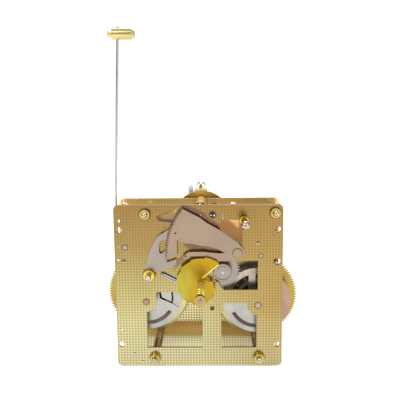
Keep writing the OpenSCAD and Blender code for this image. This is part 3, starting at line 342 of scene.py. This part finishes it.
def plate_material(name, stops, pit_depths, rough, marks, face=FACE, shift=(0, 0), drift=0.3,
                   glow=None):
    """Lacquered brass sheet, rolled with a waffle of small square pits.

    Only the side at depth face (mm) has these stops, pit depths, marks and glow; the other side
    is as plain as the front plate. The stops are painted reflection, the marks painted shade and
    the glow painted light. shift moves the pits, in radians of their pitch, and drift
    says how far clouds move the stops up and down."""
    s = Shader(name, 1.0, 0.34)
    t = s.tree
    xyz = add(t, "SeparateXYZ", {0: s.place}).outputs
    shown = maths(t, "LESS_THAN", xyz["Y"], (face + 0.1) * MM)

    def wave(axis, offset):
        phase = maths(t, "MULTIPLY_ADD", xyz[axis], math.tau / (GRID_PITCH[axis] * MM), offset)
        return maths(t, "MULTIPLY_ADD", maths(t, "COSINE", phase), 0.5, 0.5)

    pits = maths(t, "MINIMUM", wave("X", shift[0]), wave("Z", shift[1]))
    pits = ramp(t, pits, [(0.10, 0.0), (0.66, 1.0)], smooth=True)
    rise = maths(t, "MULTIPLY", xyz["Z"], 1 / (PLATE_HEIGHT * MM), clamp=True)
    clouds = maths(t, "SUBTRACT", noise(t, s.place, 28, 3), 0.5)
    rise = maths(t, "MULTIPLY_ADD", clouds, drift, rise, clamp=True)
    depth = blend_colours(t, shown, ramp(t, rise, FRONT_PITS), ramp(t, rise, pit_depths))
    sunk = maths(t, "MULTIPLY", pits, depth)

    gold = blend_colours(t, shown, ramp(t, rise, FRONT_PAINTED_REFLECTION), ramp(t, rise, stops))
    tint = ramp(t, noise(t, s.place, 12, 2), [(0.45, 0.0), (0.70, 0.25)])
    gold = blend_colours(t, tint, gold, CLOUD_BROWN)
    across = maths(t, "MULTIPLY", xyz["X"], 1 / (SHINE_WIDTH * MM), clamp=True)
    right = maths(t, "MULTIPLY", across, ramp(t, rise, [(0.10, 0.45), (0.40, 0.90), (1.0, 0.4)]))
    gold = blend_colours(t, right, gold, RIGHT_GOLD)
    gold = blend_colours(t, sunk, gold, PIT_BROWN)
    specks = ramp(t, noise(t, s.place, 2600, 2), [(0.62, 0.0), (0.75, 0.25)])
    gold = blend_colours(t, specks, gold, SPECK_BROWN)
    # Painted shade of the marks, on the shown side only
    marked = maths(t, "MULTIPLY", shown, shade_and_stain_cover(t, s.place, marks))
    gold = blend_colours(t, marked, gold, PAINTED_SHADE_BROWN)
    # A painted highlight, pale cream, on the face of the plate's top edge
    highlight_edge = maths(t, "GREATER_THAN", xyz["Z"], (PLATE_HEIGHT - 0.05) * MM)
    gold = blend_colours(t, highlight_edge, gold, PAINTED_EDGE_HIGHLIGHT)
    s.link(gold, "Base Color")
    # The back plate's inner face glows with painted light
    if glow:
        s.link(gold, "Emission Color")
        s.link(maths(t, "MULTIPLY", shown, ramp(t, rise, glow)), "Emission Strength")
    s.roughness(noise(t, s.place, 160, 5), *rough)
    scratches = noise(t, s.place, 1500, 2, stretch=(1, 1, 0.12))
    height = maths(t, "MULTIPLY_ADD", scratches, 0.10, maths(t, "MULTIPLY", sunk, -1.6))
    s.relief(height, 0.10, 0.30, edge=0.28)
    return s.material


# ---------------------------------------------------------------- other metals
def tones(r, g, b, spread=0.14):
    """Three tones of one metal, from its darker patches to its lighter ones."""
    return tuple((r * k, g * k, b * k) for k in (1 - spread, 1.0, 1 + spread / 2))


PALE_BRASS = tones(0.66, 0.55, 0.25)
DEEP_BRASS = tones(0.56, 0.37, 0.10)
NUT_OLIVE = tones(0.50, 0.38, 0.09)
LOW_NUT = tones(0.62, 0.47, 0.10)
YELLOW = tones(0.66, 0.47, 0.06)
SNAIL_YELLOW = ((0.39, 0.32, 0.030), (0.355, 0.25, 0.022), (0.33, 0.19, 0.015))
# The guard is painted dark low down and lighter high up, as shade and light fall on it
GUARD_PAINTED_SHADE_LOW = tones(0.12, 0.07, 0.04)
GUARD_BROWN = tones(0.33, 0.22, 0.10, 0.25)
GUARD_PAINTED_LIGHT_HIGH = tones(0.46, 0.31, 0.12)
WHEEL_PAINTED_PALE = tones(0.60, 0.53, 0.27, 0.2)
WHEEL_GOLD = tones(0.40, 0.29, 0.065, 0.2)
END_GOLD = tones(0.44, 0.31, 0.11, 0.2)
PIPE_GOLD = tones(0.94, 0.74, 0.32)
HOUR_GOLD = tones(0.84, 0.60, 0.13)
SLEEVE_GOLD = tones(0.98, 0.72, 0.10)
TRIM_GOLD = tones(0.86, 0.68, 0.10)
TAB_GOLD = tones(0.33, 0.23, 0.085)
EMBOSS_GOLD = tones(0.46, 0.33, 0.12)
POST_CREAM = tones(0.90, 0.84, 0.60)
COCK_GOLD = tones(0.96, 0.63, 0.20, 0.25)
HAMMER_BRASS = tones(0.60, 0.50, 0.22)
COLLAR_BROWN = tones(0.33, 0.25, 0.145)
PLUG_BROWN = tones(0.30, 0.15, 0.07, 0.3)
SPRING_CREAM = tones(0.80, 0.70, 0.50)

STEEL = tones(0.50, 0.49, 0.48, 0.22)
PALE_STEEL = tones(0.86, 0.80, 0.74)
DARK_STEEL = tones(0.08, 0.06, 0.055, 0.3)
DISC_STEEL = tones(0.455, 0.445, 0.41, 0.22)
DISC_COPPER = tones(0.40, 0.26, 0.20, 0.25)
DISC_SHADE = tones(0.50, 0.42, 0.34, 0.3)
DRUM_STEEL = tones(0.30, 0.265, 0.225)
PINK_STEEL = tones(0.32, 0.265, 0.23)
WARM_STEEL = tones(0.36, 0.262, 0.195, 0.12)
RACK_GREY = tones(0.345, 0.265, 0.20, 0.12)
GREY_STEEL = tones(0.335, 0.285, 0.245, 0.12)
LEVER_STEEL = tones(0.40, 0.39, 0.36)
CLIP_STEEL = tones(0.74, 0.76, 0.74)
CLIP_FACE = tones(0.86, 0.90, 0.86)
POST_STEEL = tones(0.50, 0.41, 0.33, 0.2)
STUD_STEEL = tones(0.34, 0.27, 0.19)
SCREW_STEEL = tones(0.42, 0.37, 0.32)
THREAD_STEEL = tones(0.38, 0.29, 0.20)
CENTRE_STEEL = tones(0.34, 0.27, 0.20)
CHAIN_STEEL = tones(0.26, 0.19, 0.16, 0.3)
PILLAR_BROWN = tones(0.42, 0.28, 0.27)
PILLAR_PINK = tones(0.50, 0.42, 0.37)
FLY_END = tones(0.33, 0.23, 0.09)
STRIKE_END = tones(0.32, 0.23, 0.15)
TIME_END = tones(0.36, 0.32, 0.28)
# Painted shade on the rear faces of the snail, rack and hook, which the plate mirrors darkly, and
# the brown of a painted glow on those faces
SHADED_REAR = tones(0.50, 0.34, 0.30, 0.3)
PAINTED_GLOW_BROWN = (0.18, 0.10, 0.085)

SNAIL_STAINS = [
    ((0.48, 0.255, 0.012), [
        Line((4.0, 67.0), (11.0, 66.0), 1.5, 5.0, 0.60),
        Line((3.0, 58.0), (-3.0, 47.5), 0.8, 3.5, 0.55),
        Line((9.0, 50.0), (7.5, 57.5), 1.0, 3.0, 0.8),
        Line((-9.5, 62.0), (-3.0, 67.0), 0.5, 3.0, 0.35),
    ]),
    ((0.42, 0.41, 0.06), [
        Line((-11.5, 57.0), (-9.5, 46.5), 1.2, 4.0, 0.60),
        Line((-6.0, 60.0), (-7.0, 53.0), 0.8, 3.0, 0.4),
    ]),
]
# Painted shade along the lifting lever's middle and both its edges
LEVER_SHADE_LINES = [
    (PAINTED_SHADE_BROWN, [
        Line((-21.6, 58.0), (-8.0, 51.0), 0.22, 0.25, 0.9),
        Line((-21.0, 59.1), (-7.5, 52.1), 0.05, 0.20, 0.8),
        Line((-22.0, 56.9), (-8.5, 49.8), 0.05, 0.20, 0.8),
    ]),
]
# Painted shade at the guard's left point and along its lower edge
GUARD_SHADE_LINES = [
    (PAINTED_SHADE_BROWN, [
        Line((-24.6, 92.2), (-22.2, 91.2), 0.9, 1.6, 0.85),
        Line((-24.0, 90.6), (-11.0, 89.6), 1.0, 1.2, 0.80),
    ]),
]


def metal(name, colours, rough, grain="fine", arbor=None, edge=0.10, relief=0.4, metallic=1.0,
          past=(), stains_and_shade=(), lit_past=None):
    """Bright metal: grain is fine, rolled along X, or turned in circles about arbor (x, z) in mm.

    past lists (axis, place in mm, tones), each for the side of the node beyond that place, and
    stains lists (colour, marks), some for patches of the metal's own tone and some for painted
    shade.
    lit_past is the depth (mm) behind which the rear faces glow with painted light, since few
    bounces of light reach the narrow gap there."""
    s = Shader(name, metallic, sum(rough) / 2)
    t = s.tree

    def beyond(axis, place):
        return maths(t, "GREATER_THAN", along(t, s.place, axis), place * MM)

    def patchy(three):
        return ramp(t, cloud, list(zip((0.30, 0.55, 0.75), three)))

    streaks = noise(t, s.place, 900, 3, stretch=(0.10, 1, 1) if grain == "rolled" else None)
    streaks = maths(t, "SUBTRACT", streaks, 0.5)
    cloud = maths(t, "MULTIPLY_ADD", streaks, 0.35, noise(t, s.place, 55, 4))
    tone = patchy(colours)
    for axis, place, others in past:
        tone = blend_colours(t, beyond(axis, place), tone, patchy(others))
    # Patches of the metal's own tone, and marks of painted shade, each in its colour
    for colour, marks in stains_and_shade:
        tone = blend_colours(t, shade_and_stain_cover(t, s.place, marks), tone, colour)
    s.link(tone, "Base Color")
    if lit_past is not None:
        s.bsdf.inputs["Emission Color"].default_value = (*PAINTED_GLOW_BROWN, 1)
        s.link(beyond("Y", lit_past), "Emission Strength")
    if grain == "turned":
        centre = (arbor[0] * MM, 0, arbor[1] * MM)
        offset = add(t, "VectorMath", {0: s.place, 1: centre}, operation="SUBTRACT").outputs[0]
        flat = add(t, "VectorMath", {0: offset, 1: (1, 0, 1)}, operation="MULTIPLY").outputs[0]
        radius = add(t, "VectorMath", {0: flat}, operation="LENGTH").outputs["Value"]
        rings = add(t, "CombineXYZ", {0: radius, 1: along(t, s.place, "Y")}).outputs[0]
        marks = noise(t, rings, 4200, 2)
    elif grain == "rolled":
        marks = noise(t, s.place, 3000, 2, stretch=(0.06, 1, 1))
    else:
        marks = noise(t, s.place, 2400, 3)
    s.roughness(maths(t, "MULTIPLY_ADD", marks, 0.5, maths(t, "MULTIPLY", cloud, 0.5)), *rough)
    s.relief(marks, 0.02, relief, edge)
    return s.material


def give(material, *names):
    for name in names:
        mesh = nodes[name].data
        if not mesh.materials:
            mesh.materials.append(material)
        for i in range(len(mesh.materials)):
            mesh.materials[i] = material
        for slot in nodes[name].material_slots:
            slot.material = material


# ---------------------------------------------------------------- dressing the CAD nodes
def dress_plates():
    front = plate_material("front_plate_brass", FRONT_PAINTED_REFLECTION, FRONT_PITS, (0.15, 0.25), FRONT_PAINTED_SHADE)
    give(front, "front_plate")
    back = plate_material("back_plate_brass", BACK_PAINTED_REFLECTION, BACK_PITS, (0.05, 0.12), BACK_PAINTED_SHADE,
                          face=BACK_FACE, shift=(0.6, 0.4), drift=0.02, glow=BACK_GLOW)
    give(back, "back_plate")


def dress_frame():
    pillar_past = [("Y", FACE, PILLAR_BROWN), ("Z", 50, PILLAR_PINK)]
    give(metal("pillar_steel", STEEL, (0.12, 0.26), past=pillar_past), "pillars")
    give(metal("spacer_brass", DEEP_BRASS, (0.25, 0.4)), "cock_spacers")
    give(metal("post_brass", POST_CREAM, (0.10, 0.22)), "suspension_post")
    give(metal("nut_brass", NUT_OLIVE, (0.16, 0.28)), "top_nuts")
    give(metal("low_nut_brass", LOW_NUT, (0.16, 0.28)), "bottom_nuts")
    # The guard: painted shade low down, painted light high up, and lines of painted shade
    guard = metal("guard_brass", GUARD_PAINTED_SHADE_LOW, (0.22, 0.36), "rolled", stains_and_shade=GUARD_SHADE_LINES,
                  past=[("Z", 91.4, GUARD_BROWN), ("Z", 95.6, GUARD_PAINTED_LIGHT_HIGH)])
    give(guard, "hook_guard")
    give(metal("cock_brass", COCK_GOLD, (0.22, 0.36), "rolled"), "verge_cock")
    give(metal("sleeve_brass", SLEEVE_GOLD, (0.22, 0.34)), "top_sleeve")
    give(metal("clip_steel", CLIP_STEEL, (0.16, 0.28)), "suspension_pin")
    give(metal("pin_steel", STEEL, (0.12, 0.24)), "hook_post", "hammer_rod")
    give(metal("stud_steel", STUD_STEEL, (0.14, 0.26)), "studs")
    post = metal("post_steel", POST_STEEL, (0.14, 0.26), past=[("Y", -16.4, YELLOW)])
    give(post, "dial_post")
    collar = metal("collar_brass", YELLOW, (0.16, 0.28), past=[("X", 0.0, COLLAR_BROWN)])
    give(collar, "stud_collars")
    give(metal("hammer_brass", HAMMER_BRASS, (0.14, 0.26)), "hammer_head")


def dress_motion_work():
    give(metal("hub_brass", PALE_BRASS, (0.2, 0.3)), "snail_hub", "hammer_cam")
    # Painted shade and a painted glow on the snail's rear face
    snail = metal("snail_brass", SNAIL_YELLOW, (0.18, 0.32), past=[("Y", SNAIL_REAR, SHADED_REAR)],
                  stains_and_shade=SNAIL_STAINS, lit_past=SNAIL_REAR)
    give(snail, "snail")
    pipe = metal("pipe_brass", PIPE_GOLD, (0.18, 0.30), "turned", HANDS, metallic=0.6)
    give(pipe, "cannon_pinion")
    give(metal("end_brass", END_GOLD, (0.14, 0.24), "turned", HANDS), "hand_nut")
    hour = metal("hour_brass", HOUR_GOLD, (0.20, 0.32), "turned", HANDS, metallic=0.45)
    give(hour, "hour_wheel")
    # Painted shade and a painted glow on the hook's rear face, and painted shade where the rack's
    # arc lies over it
    hook = metal("sheet_steel", GREY_STEEL, (0.28, 0.42), "rolled", lit_past=HOOK_REAR,
                 past=[("Y", HOOK_REAR, SHADED_REAR)], stains_and_shade=[(PAINTED_SHADE_BROWN, [RACK_ARC_SHADE])])
    give(hook, "rack_hook")
    # Painted shade and a painted glow on the rack's rear face
    rack = metal("rack_steel", WARM_STEEL, (0.28, 0.40), "rolled", lit_past=RACK_REAR,
                 past=[("X", 14.0, RACK_GREY), ("Y", RACK_REAR, SHADED_REAR)])
    give(rack, "rack")
    lever = metal("lever_steel", LEVER_STEEL, (0.14, 0.26), "rolled", edge=0.2,
                  stains_and_shade=LEVER_SHADE_LINES)
    give(lever, "lifting_lever")
    give(metal("drum_steel", DRUM_STEEL, (0.12, 0.24), "turned", SECOND_ARBOR), "front_drum")


def dress_trains():
    # The great wheels are painted paler where they show through the windows: painted light
    wheels = {
        "time_great_wheel": (TIME_BARREL, [("X", 0.0, WHEEL_PAINTED_PALE), ("X", 46.0, WHEEL_GOLD)]),
        "centre_wheel": (HANDS, []),
        "third_wheel": ((1.4, 66.1), []),
        "escape_wheel": ((1.4, 78.26), []),
        "minute_wheel": ((0.6, 60.0), []),
        "strike_great_wheel": (STRIKE_BARREL, [("X", -40.0, WHEEL_PAINTED_PALE)]),
        "strike_second_wheel": ((-10.5, 62.1), []),
        "cam_wheel": ((-21.3, 67.1), []),
        "warning_wheel": ((-22.8, 77.8), []),
    }
    for name, (arbor, past) in wheels.items():
        wheel = metal(name + "_brass", WHEEL_GOLD, (0.22, 0.34), "turned", arbor, past=past)
        give(wheel, name)
    second = metal("second_wheel_steel", PINK_STEEL, (0.22, 0.34), "turned", SECOND_ARBOR)
    give(second, "time_second_wheel")

    give(metal("arbor_steel", STEEL, (0.18, 0.32)), "time_second_arbor", "third_arbor",
         "escape_arbor", "verge_arbor", "strike_second_arbor", "cam_arbor", "warning_arbor",
         "hammer_arbor")
    give(metal("centre_steel", CENTRE_STEEL, (0.18, 0.32)), "centre_arbor")
    # Steel behind the front plate's face, and an end of its own tone in front of it
    for name, end, arbor in (
        ("fly_end", FLY_END, "fly_arbor"), ("strike_end", STRIKE_END, "strike_great_arbor"),
        ("time_end", TIME_END, "time_great_arbor"),
    ):
        give(metal(name, end, (0.18, 0.30), past=[("Y", FACE + 0.05, STEEL)]), arbor)

    give(metal("inner_steel", GREY_STEEL, (0.28, 0.42), "rolled"), "anchor", "crutch", "fly")
    disc_past = [("X", 49.0, DISC_COPPER), ("Z", 53.0, DISC_SHADE)]
    give(metal("time_disc_steel", DISC_STEEL, (0.22, 0.38), past=disc_past), "time_click_disc")
    disc_past = [("X", -49.8, DISC_STEEL)]
    give(metal("strike_disc_steel", WHEEL_GOLD, (0.22, 0.38), past=disc_past), "strike_click_disc")
    chain = metal("chain_steel", CHAIN_STEEL, (0.30, 0.46), metallic=0.7)
    give(chain, "time_chain_wheel", "strike_chain_wheel")
    give(metal("click_steel", GREY_STEEL, (0.22, 0.34)), "time_click", "strike_click",
         "time_click_spring", "strike_click_spring")


# ---------------------------------------------------------------- forms of the small pieces
def finish_piece(name, bm, material, body, smooth=35):
    mesh = bpy.data.meshes.new(name)
    bmesh.ops.recalc_face_normals(bm, faces=bm.faces)
    bm.to_mesh(mesh)
    bm.free()
    mesh.materials.append(material)
    for polygon in mesh.polygons:
        polygon.use_smooth = True
    mesh.set_sharp_from_angle(angle=math.radians(smooth))
    piece = bpy.data.objects.new(name, mesh)
    bpy.context.scene.collection.objects.link(piece)
    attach(piece, body)


def lathe(name, place, profile, material, body="frame", around=28):
    """A piece turned about Y at place (x, z); profile is a list of (radius, depth), in mm."""
    bm = bmesh.new()
    rings = []
    for radius, depth in profile:
        ring = []
        for i in range(around if radius > 0 else 1):
            a = math.tau * i / around
            x, z = place[0] + radius * math.cos(a), place[1] + radius * math.sin(a)
            ring.append(bm.verts.new(Vector((x, depth, z)) * MM))
        rings.append(ring)
    for first, second in zip(rings, rings[1:]):
        for i in range(around):
            corners = [first[i % len(first)], first[(i + 1) % len(first)],
                       second[(i + 1) % len(second)], second[i % len(second)]]
            # At a point on the axis two corners are one, and the face has three sides
            bm.faces.new(list(dict.fromkeys(corners)))
    for ring in (rings[0], rings[-1]):
        if len(ring) > 1:
            bm.faces.new(ring)
    finish_piece(name, bm, material, body)


def dome(radius, base, height, sink, steps=6):
    """Profile of a domed end, height tall in front of base, that reaches sink behind it."""
    turns = (math.pi / 2 * i / steps for i in range(steps))
    bow = [(radius * math.cos(a), base - height * math.sin(a)) for a in turns]
    return [(radius, base + sink), *bow, (0.0, base - height)]


def tube(outer, inner, front, back, round_off=0.15):
    """Profile of a ring with a softened front edge, open in the middle."""
    return [
        (inner, back), (outer, back), (outer, front + round_off), (outer - round_off, front),
        (inner + round_off, front), (inner, front + round_off), (inner, back - 0.01),
    ]


def strip(name, start, end, width, depths, material, body="frame", bevel=0.12):
    """A flat bevelled strip from start to end (x, z), with depths (front, back), in mm."""
    a, b = Vector(start), Vector(end)
    side = Vector((-(b - a).y, (b - a).x)).normalized() * width / 2
    bm = bmesh.new()
    corners = []
    for x, z in (a - side, b - side, b + side, a + side):
        corners.append([bm.verts.new(Vector((x, y, z)) * MM) for y in depths])
    for i in range(4):
        near, far = corners[i], corners[(i + 1) % 4]
        bm.faces.new((near[0], far[0], far[1], near[1]))
    bm.faces.new([c[0] for c in corners])
    bm.faces.new([c[1] for c in reversed(corners)])
    bmesh.ops.bevel(bm, geom=bm.edges[:], offset=bevel * MM, segments=2, affect="EDGES",
                    profile=0.5)
    finish_piece(name, bm, material, body)


def wire(name, path, radius, material, body="frame", around=8):
    """A round wire along path, a list of (x, y, z) in mm, with closed ends."""
    points = [Vector(p) for p in path]
    turns = [math.tau * k / around for k in range(around)]
    bm = bmesh.new()
    rings = []
    for i, point in enumerate(points):
        way = (points[min(i + 1, len(points) - 1)] - points[max(i - 1, 0)]).normalized()
        # The section turns as little as it can from one point to the next
        across = (across - way * across.dot(way)) if rings else way.orthogonal()
        across.normalize()
        other = way.cross(across)
        spots = [point + radius * (math.cos(a) * across + math.sin(a) * other) for a in turns]
        rings.append([bm.verts.new(spot * MM) for spot in spots])
    for first, second in zip(rings, rings[1:]):
        for i in range(around):
            j = (i + 1) % around
            bm.faces.new((first[i], first[j], second[j], second[i]))
    bm.faces.new(rings[0])
    bm.faces.new(rings[-1])
    finish_piece(name, bm, material, body, smooth=60)


def arc(centre, radius, depth, first, last, step, tall=None):
    """Points at depth on a circle about centre (x, z), from first to last in steps (degrees)."""
    turns = [math.radians(first + step * k) for k in range(round((last - first) / step) + 1)]
    tall = tall or radius
    return [(centre[0] + radius * math.cos(a), depth, centre[1] + tall * math.sin(a))
            for a in turns]


# ---------------------------------------------------------------- the small pieces
def small_pieces():
    steel = metal("rivet_steel", STEEL, (0.10, 0.20), relief=0.2)
    pale = metal("rivet_pale", PALE_STEEL, (0.16, 0.26), relief=0.2)
    dark = metal("ball_steel", DARK_STEEL, (0.06, 0.14), relief=0.1)
    screw = metal("screw_steel", SCREW_STEEL, (0.16, 0.28))
    brown = metal("plug_brown", PLUG_BROWN, (0.2, 0.36))
    gold = metal("trim_brass", TRIM_GOLD, (0.22, 0.34))
    rivets_and_plugs(steel, pale, dark, screw, brown)
    side_tabs(steel)
    emboss = metal("emboss_brass", EMBOSS_GOLD, (0.2, 0.3))
    ring = arc(EMBOSSED, 1.7, FACE - 0.02, 0, 360, 15)
    wire("embossed_ring", ring, 0.13, emboss)
    top_of_the_back(pale, dark, brown)
    hands_and_snail(gold, brown)
    shade_rings(brown)
    wire("top_wire", [(14.4, -1.1, 91.8), (14.5, -1.15, 94.0), (14.6, -1.0, 95.9)], 0.26, steel)


def rivets_and_plugs(steel, pale, dark, screw, brown):
    # Name, place, radius, depth of its foot, height, how far it reaches behind, material
    for name, place, radius, base, height, sink, material in (
        ("bearing_ball", BALL, 1.65, FACE, 1.4, 0.9, dark),
        # The two pale glint domes on the dark ball are painted highlights
        ("ball_glint_left", (7.55, 93.75), 0.42, FACE - 1.15, 0.25, 0.4, pale),
        ("ball_glint_right", (9.40, 93.70), 0.60, FACE - 1.05, 0.30, 0.4, pale),
        ("rivet_top_left", TOP_RIVET, 0.8, FACE, 0.6, 0.05, steel),
        ("rivet_top_right", (14.4, 91.6), 0.75, FACE, 0.7, 0.6, steel),
        ("rivet_right", RIGHT_RIVET, 0.9, FACE, 0.8, 0.05, steel),
        ("rivet_left", (-47.1, 74.6), 0.55, FACE, 0.4, 0.05, steel),
        ("screw_left", SCREW, 1.25, FACE, 0.5, 0.05, screw),
        ("plug_low_left", (-46.8, 22.8), 0.65, FACE, 0.35, 0.05, pale),
        ("dot_low_left", (-34.6, 3.8), 0.35, FACE, 0.25, 0.05, pale),
    ):
        lathe(name, place, dome(radius, base, height, sink), material)
    # Plugs in their holes, each with a pale wire along its lower half as a painted highlight
    for name, place in (
        ("plug_right_up", (35.2, 77.0)), ("plug_right", (46.5, 65.4)), ("plug_left", (-44.4, 66.1)),
    ):
        lathe(name, place, dome(0.95, FACE + 0.35, 0.3, 0.4), brown)
        wire(name + "_highlight", arc(place, 0.85, FACE - 0.05, 200, 340, 20), 0.22, pale)


def side_tabs(steel):
    # Tabs behind the front plate that close its side holes in part, so that they show as slits
    brass = metal("tab_brass", TAB_GOLD, (0.18, 0.30))
    for name, (x, low, high), width, material, slot in (
        ("tab_left_up", (-45.35, 88.4, 91.6), 1.9, brass, "plate_brass"),
        ("tab_left", (-45.0, 82.9, 86.1), 1.9, steel, "steel"),
        ("tab_right", (46.3, 83.6, 86.8), 1.9, brass, "plate_brass"),
        ("tab_low_left", (-44.4, 14.6, 17.6), 1.6, brass, "plate_brass"),
    ):
        strip(name, (x, low), (x, high), width, (0.76, 1.0), material)


def top_of_the_back(pale, dark, brown):
    for name, x, height, material in (
        ("back_dome_left", -46.2, 1.0, pale), ("back_dome_middle", 9.4, 0.9, brown),
        ("back_dome_right", 21.3, 1.4, pale),
    ):
        lathe(name, (x, 96.0), dome(1.75, BACK_FACE, height, 0.3), material)
    # The top sleeve's mouth, pale outside, with a dark disc of painted shade inside it and a steel
    # pivot
    lathe("sleeve_mouth", SLEEVE, tube(3.2, 2.25, 4.1, 4.65), pale)
    lathe("sleeve_painted_shade", SLEEVE, [(2.3, 4.66), (2.3, 4.50), (0.0, 4.50)], dark)
    lathe("sleeve_pivot", (1.4, 98.6), dome(1.3, 4.5, 0.5, 0.1), pale)
    # The suspension spring in its slot, with a bent loop above it, and the clip's pale face
    cream = metal("spring_strip", SPRING_CREAM, (0.2, 0.3), "rolled")
    strip("suspension_spring", (1.2, 100.2), (1.2, 107.9), 0.96, (29.9, 30.3), cream)
    bend = arc((1.2, 106.6), 0.62, 28.6, 0, 180, 20, tall=0.75)
    loop = [(1.82, 28.6, 104.9), *bend, (0.58, 28.6, 104.9)]
    wire("suspension_loop", loop, 0.24, dark)
    face = metal("clip_pale", CLIP_FACE, (0.3, 0.4))
    strip("clip_face", (-5.45, 99.6), (-5.45, 107.0), 2.5, (28.78, 29.3), face)


def hands_and_snail(gold, brown):
    # The bent lip along the snail's step, which the rack's tail can ride over
    strip("snail_highlight", (2.3, 57.3), (11.7, 65.6), 1.0, (-7.05, -6.55), gold, body=SNAIL_BODY)
    # Turned beads on the cannon pipe, and the threaded end inside the hand nut
    for i, (depth, radius, material) in enumerate((
        (-19.2, 2.25, gold), (-22.4, 2.2, gold), (-25.6, 2.2, gold), (-29.2, 2.35, brown),
    )):
        bead = [(1.9, depth + 0.75), (radius, depth + 0.5), (radius + 0.12, depth),
                (radius, depth - 0.5), (1.9, depth - 0.75)]
        lathe(f"pipe_bead_{i}", HANDS, bead, material, body=HAND_BODY)
    thread = metal("thread_steel", THREAD_STEEL, (0.16, 0.28), "turned", HANDS)
    profile = [(1.75, -34.3), (1.75, -34.7), (1.45, -34.95), (0.86, -34.98)]
    lathe("hand_thread", HANDS, profile, thread, body=HAND_BODY)


def shade_rings(brown):
    # Dark wire rings of painted shade round the drum and the collars
    for name, centre, radius, depth, body in (
        ("drum_shade_ring", SECOND_ARBOR, 5.35, -4.35, DRUM_BODY),
        ("hook_shade_ring", HOOK_POST, 3.3, -3.35, "frame"),
        ("rack_shade_ring", RACK_STUD, 2.95, -4.72, "frame"),
    ):
        wire(name, arc(centre, radius, depth, 0, 360, 11.25), 0.17, brown, body=body)


look_through_camera()
studio()
dress_plates()
dress_frame()
dress_motion_work()
dress_trains()
small_pieces()
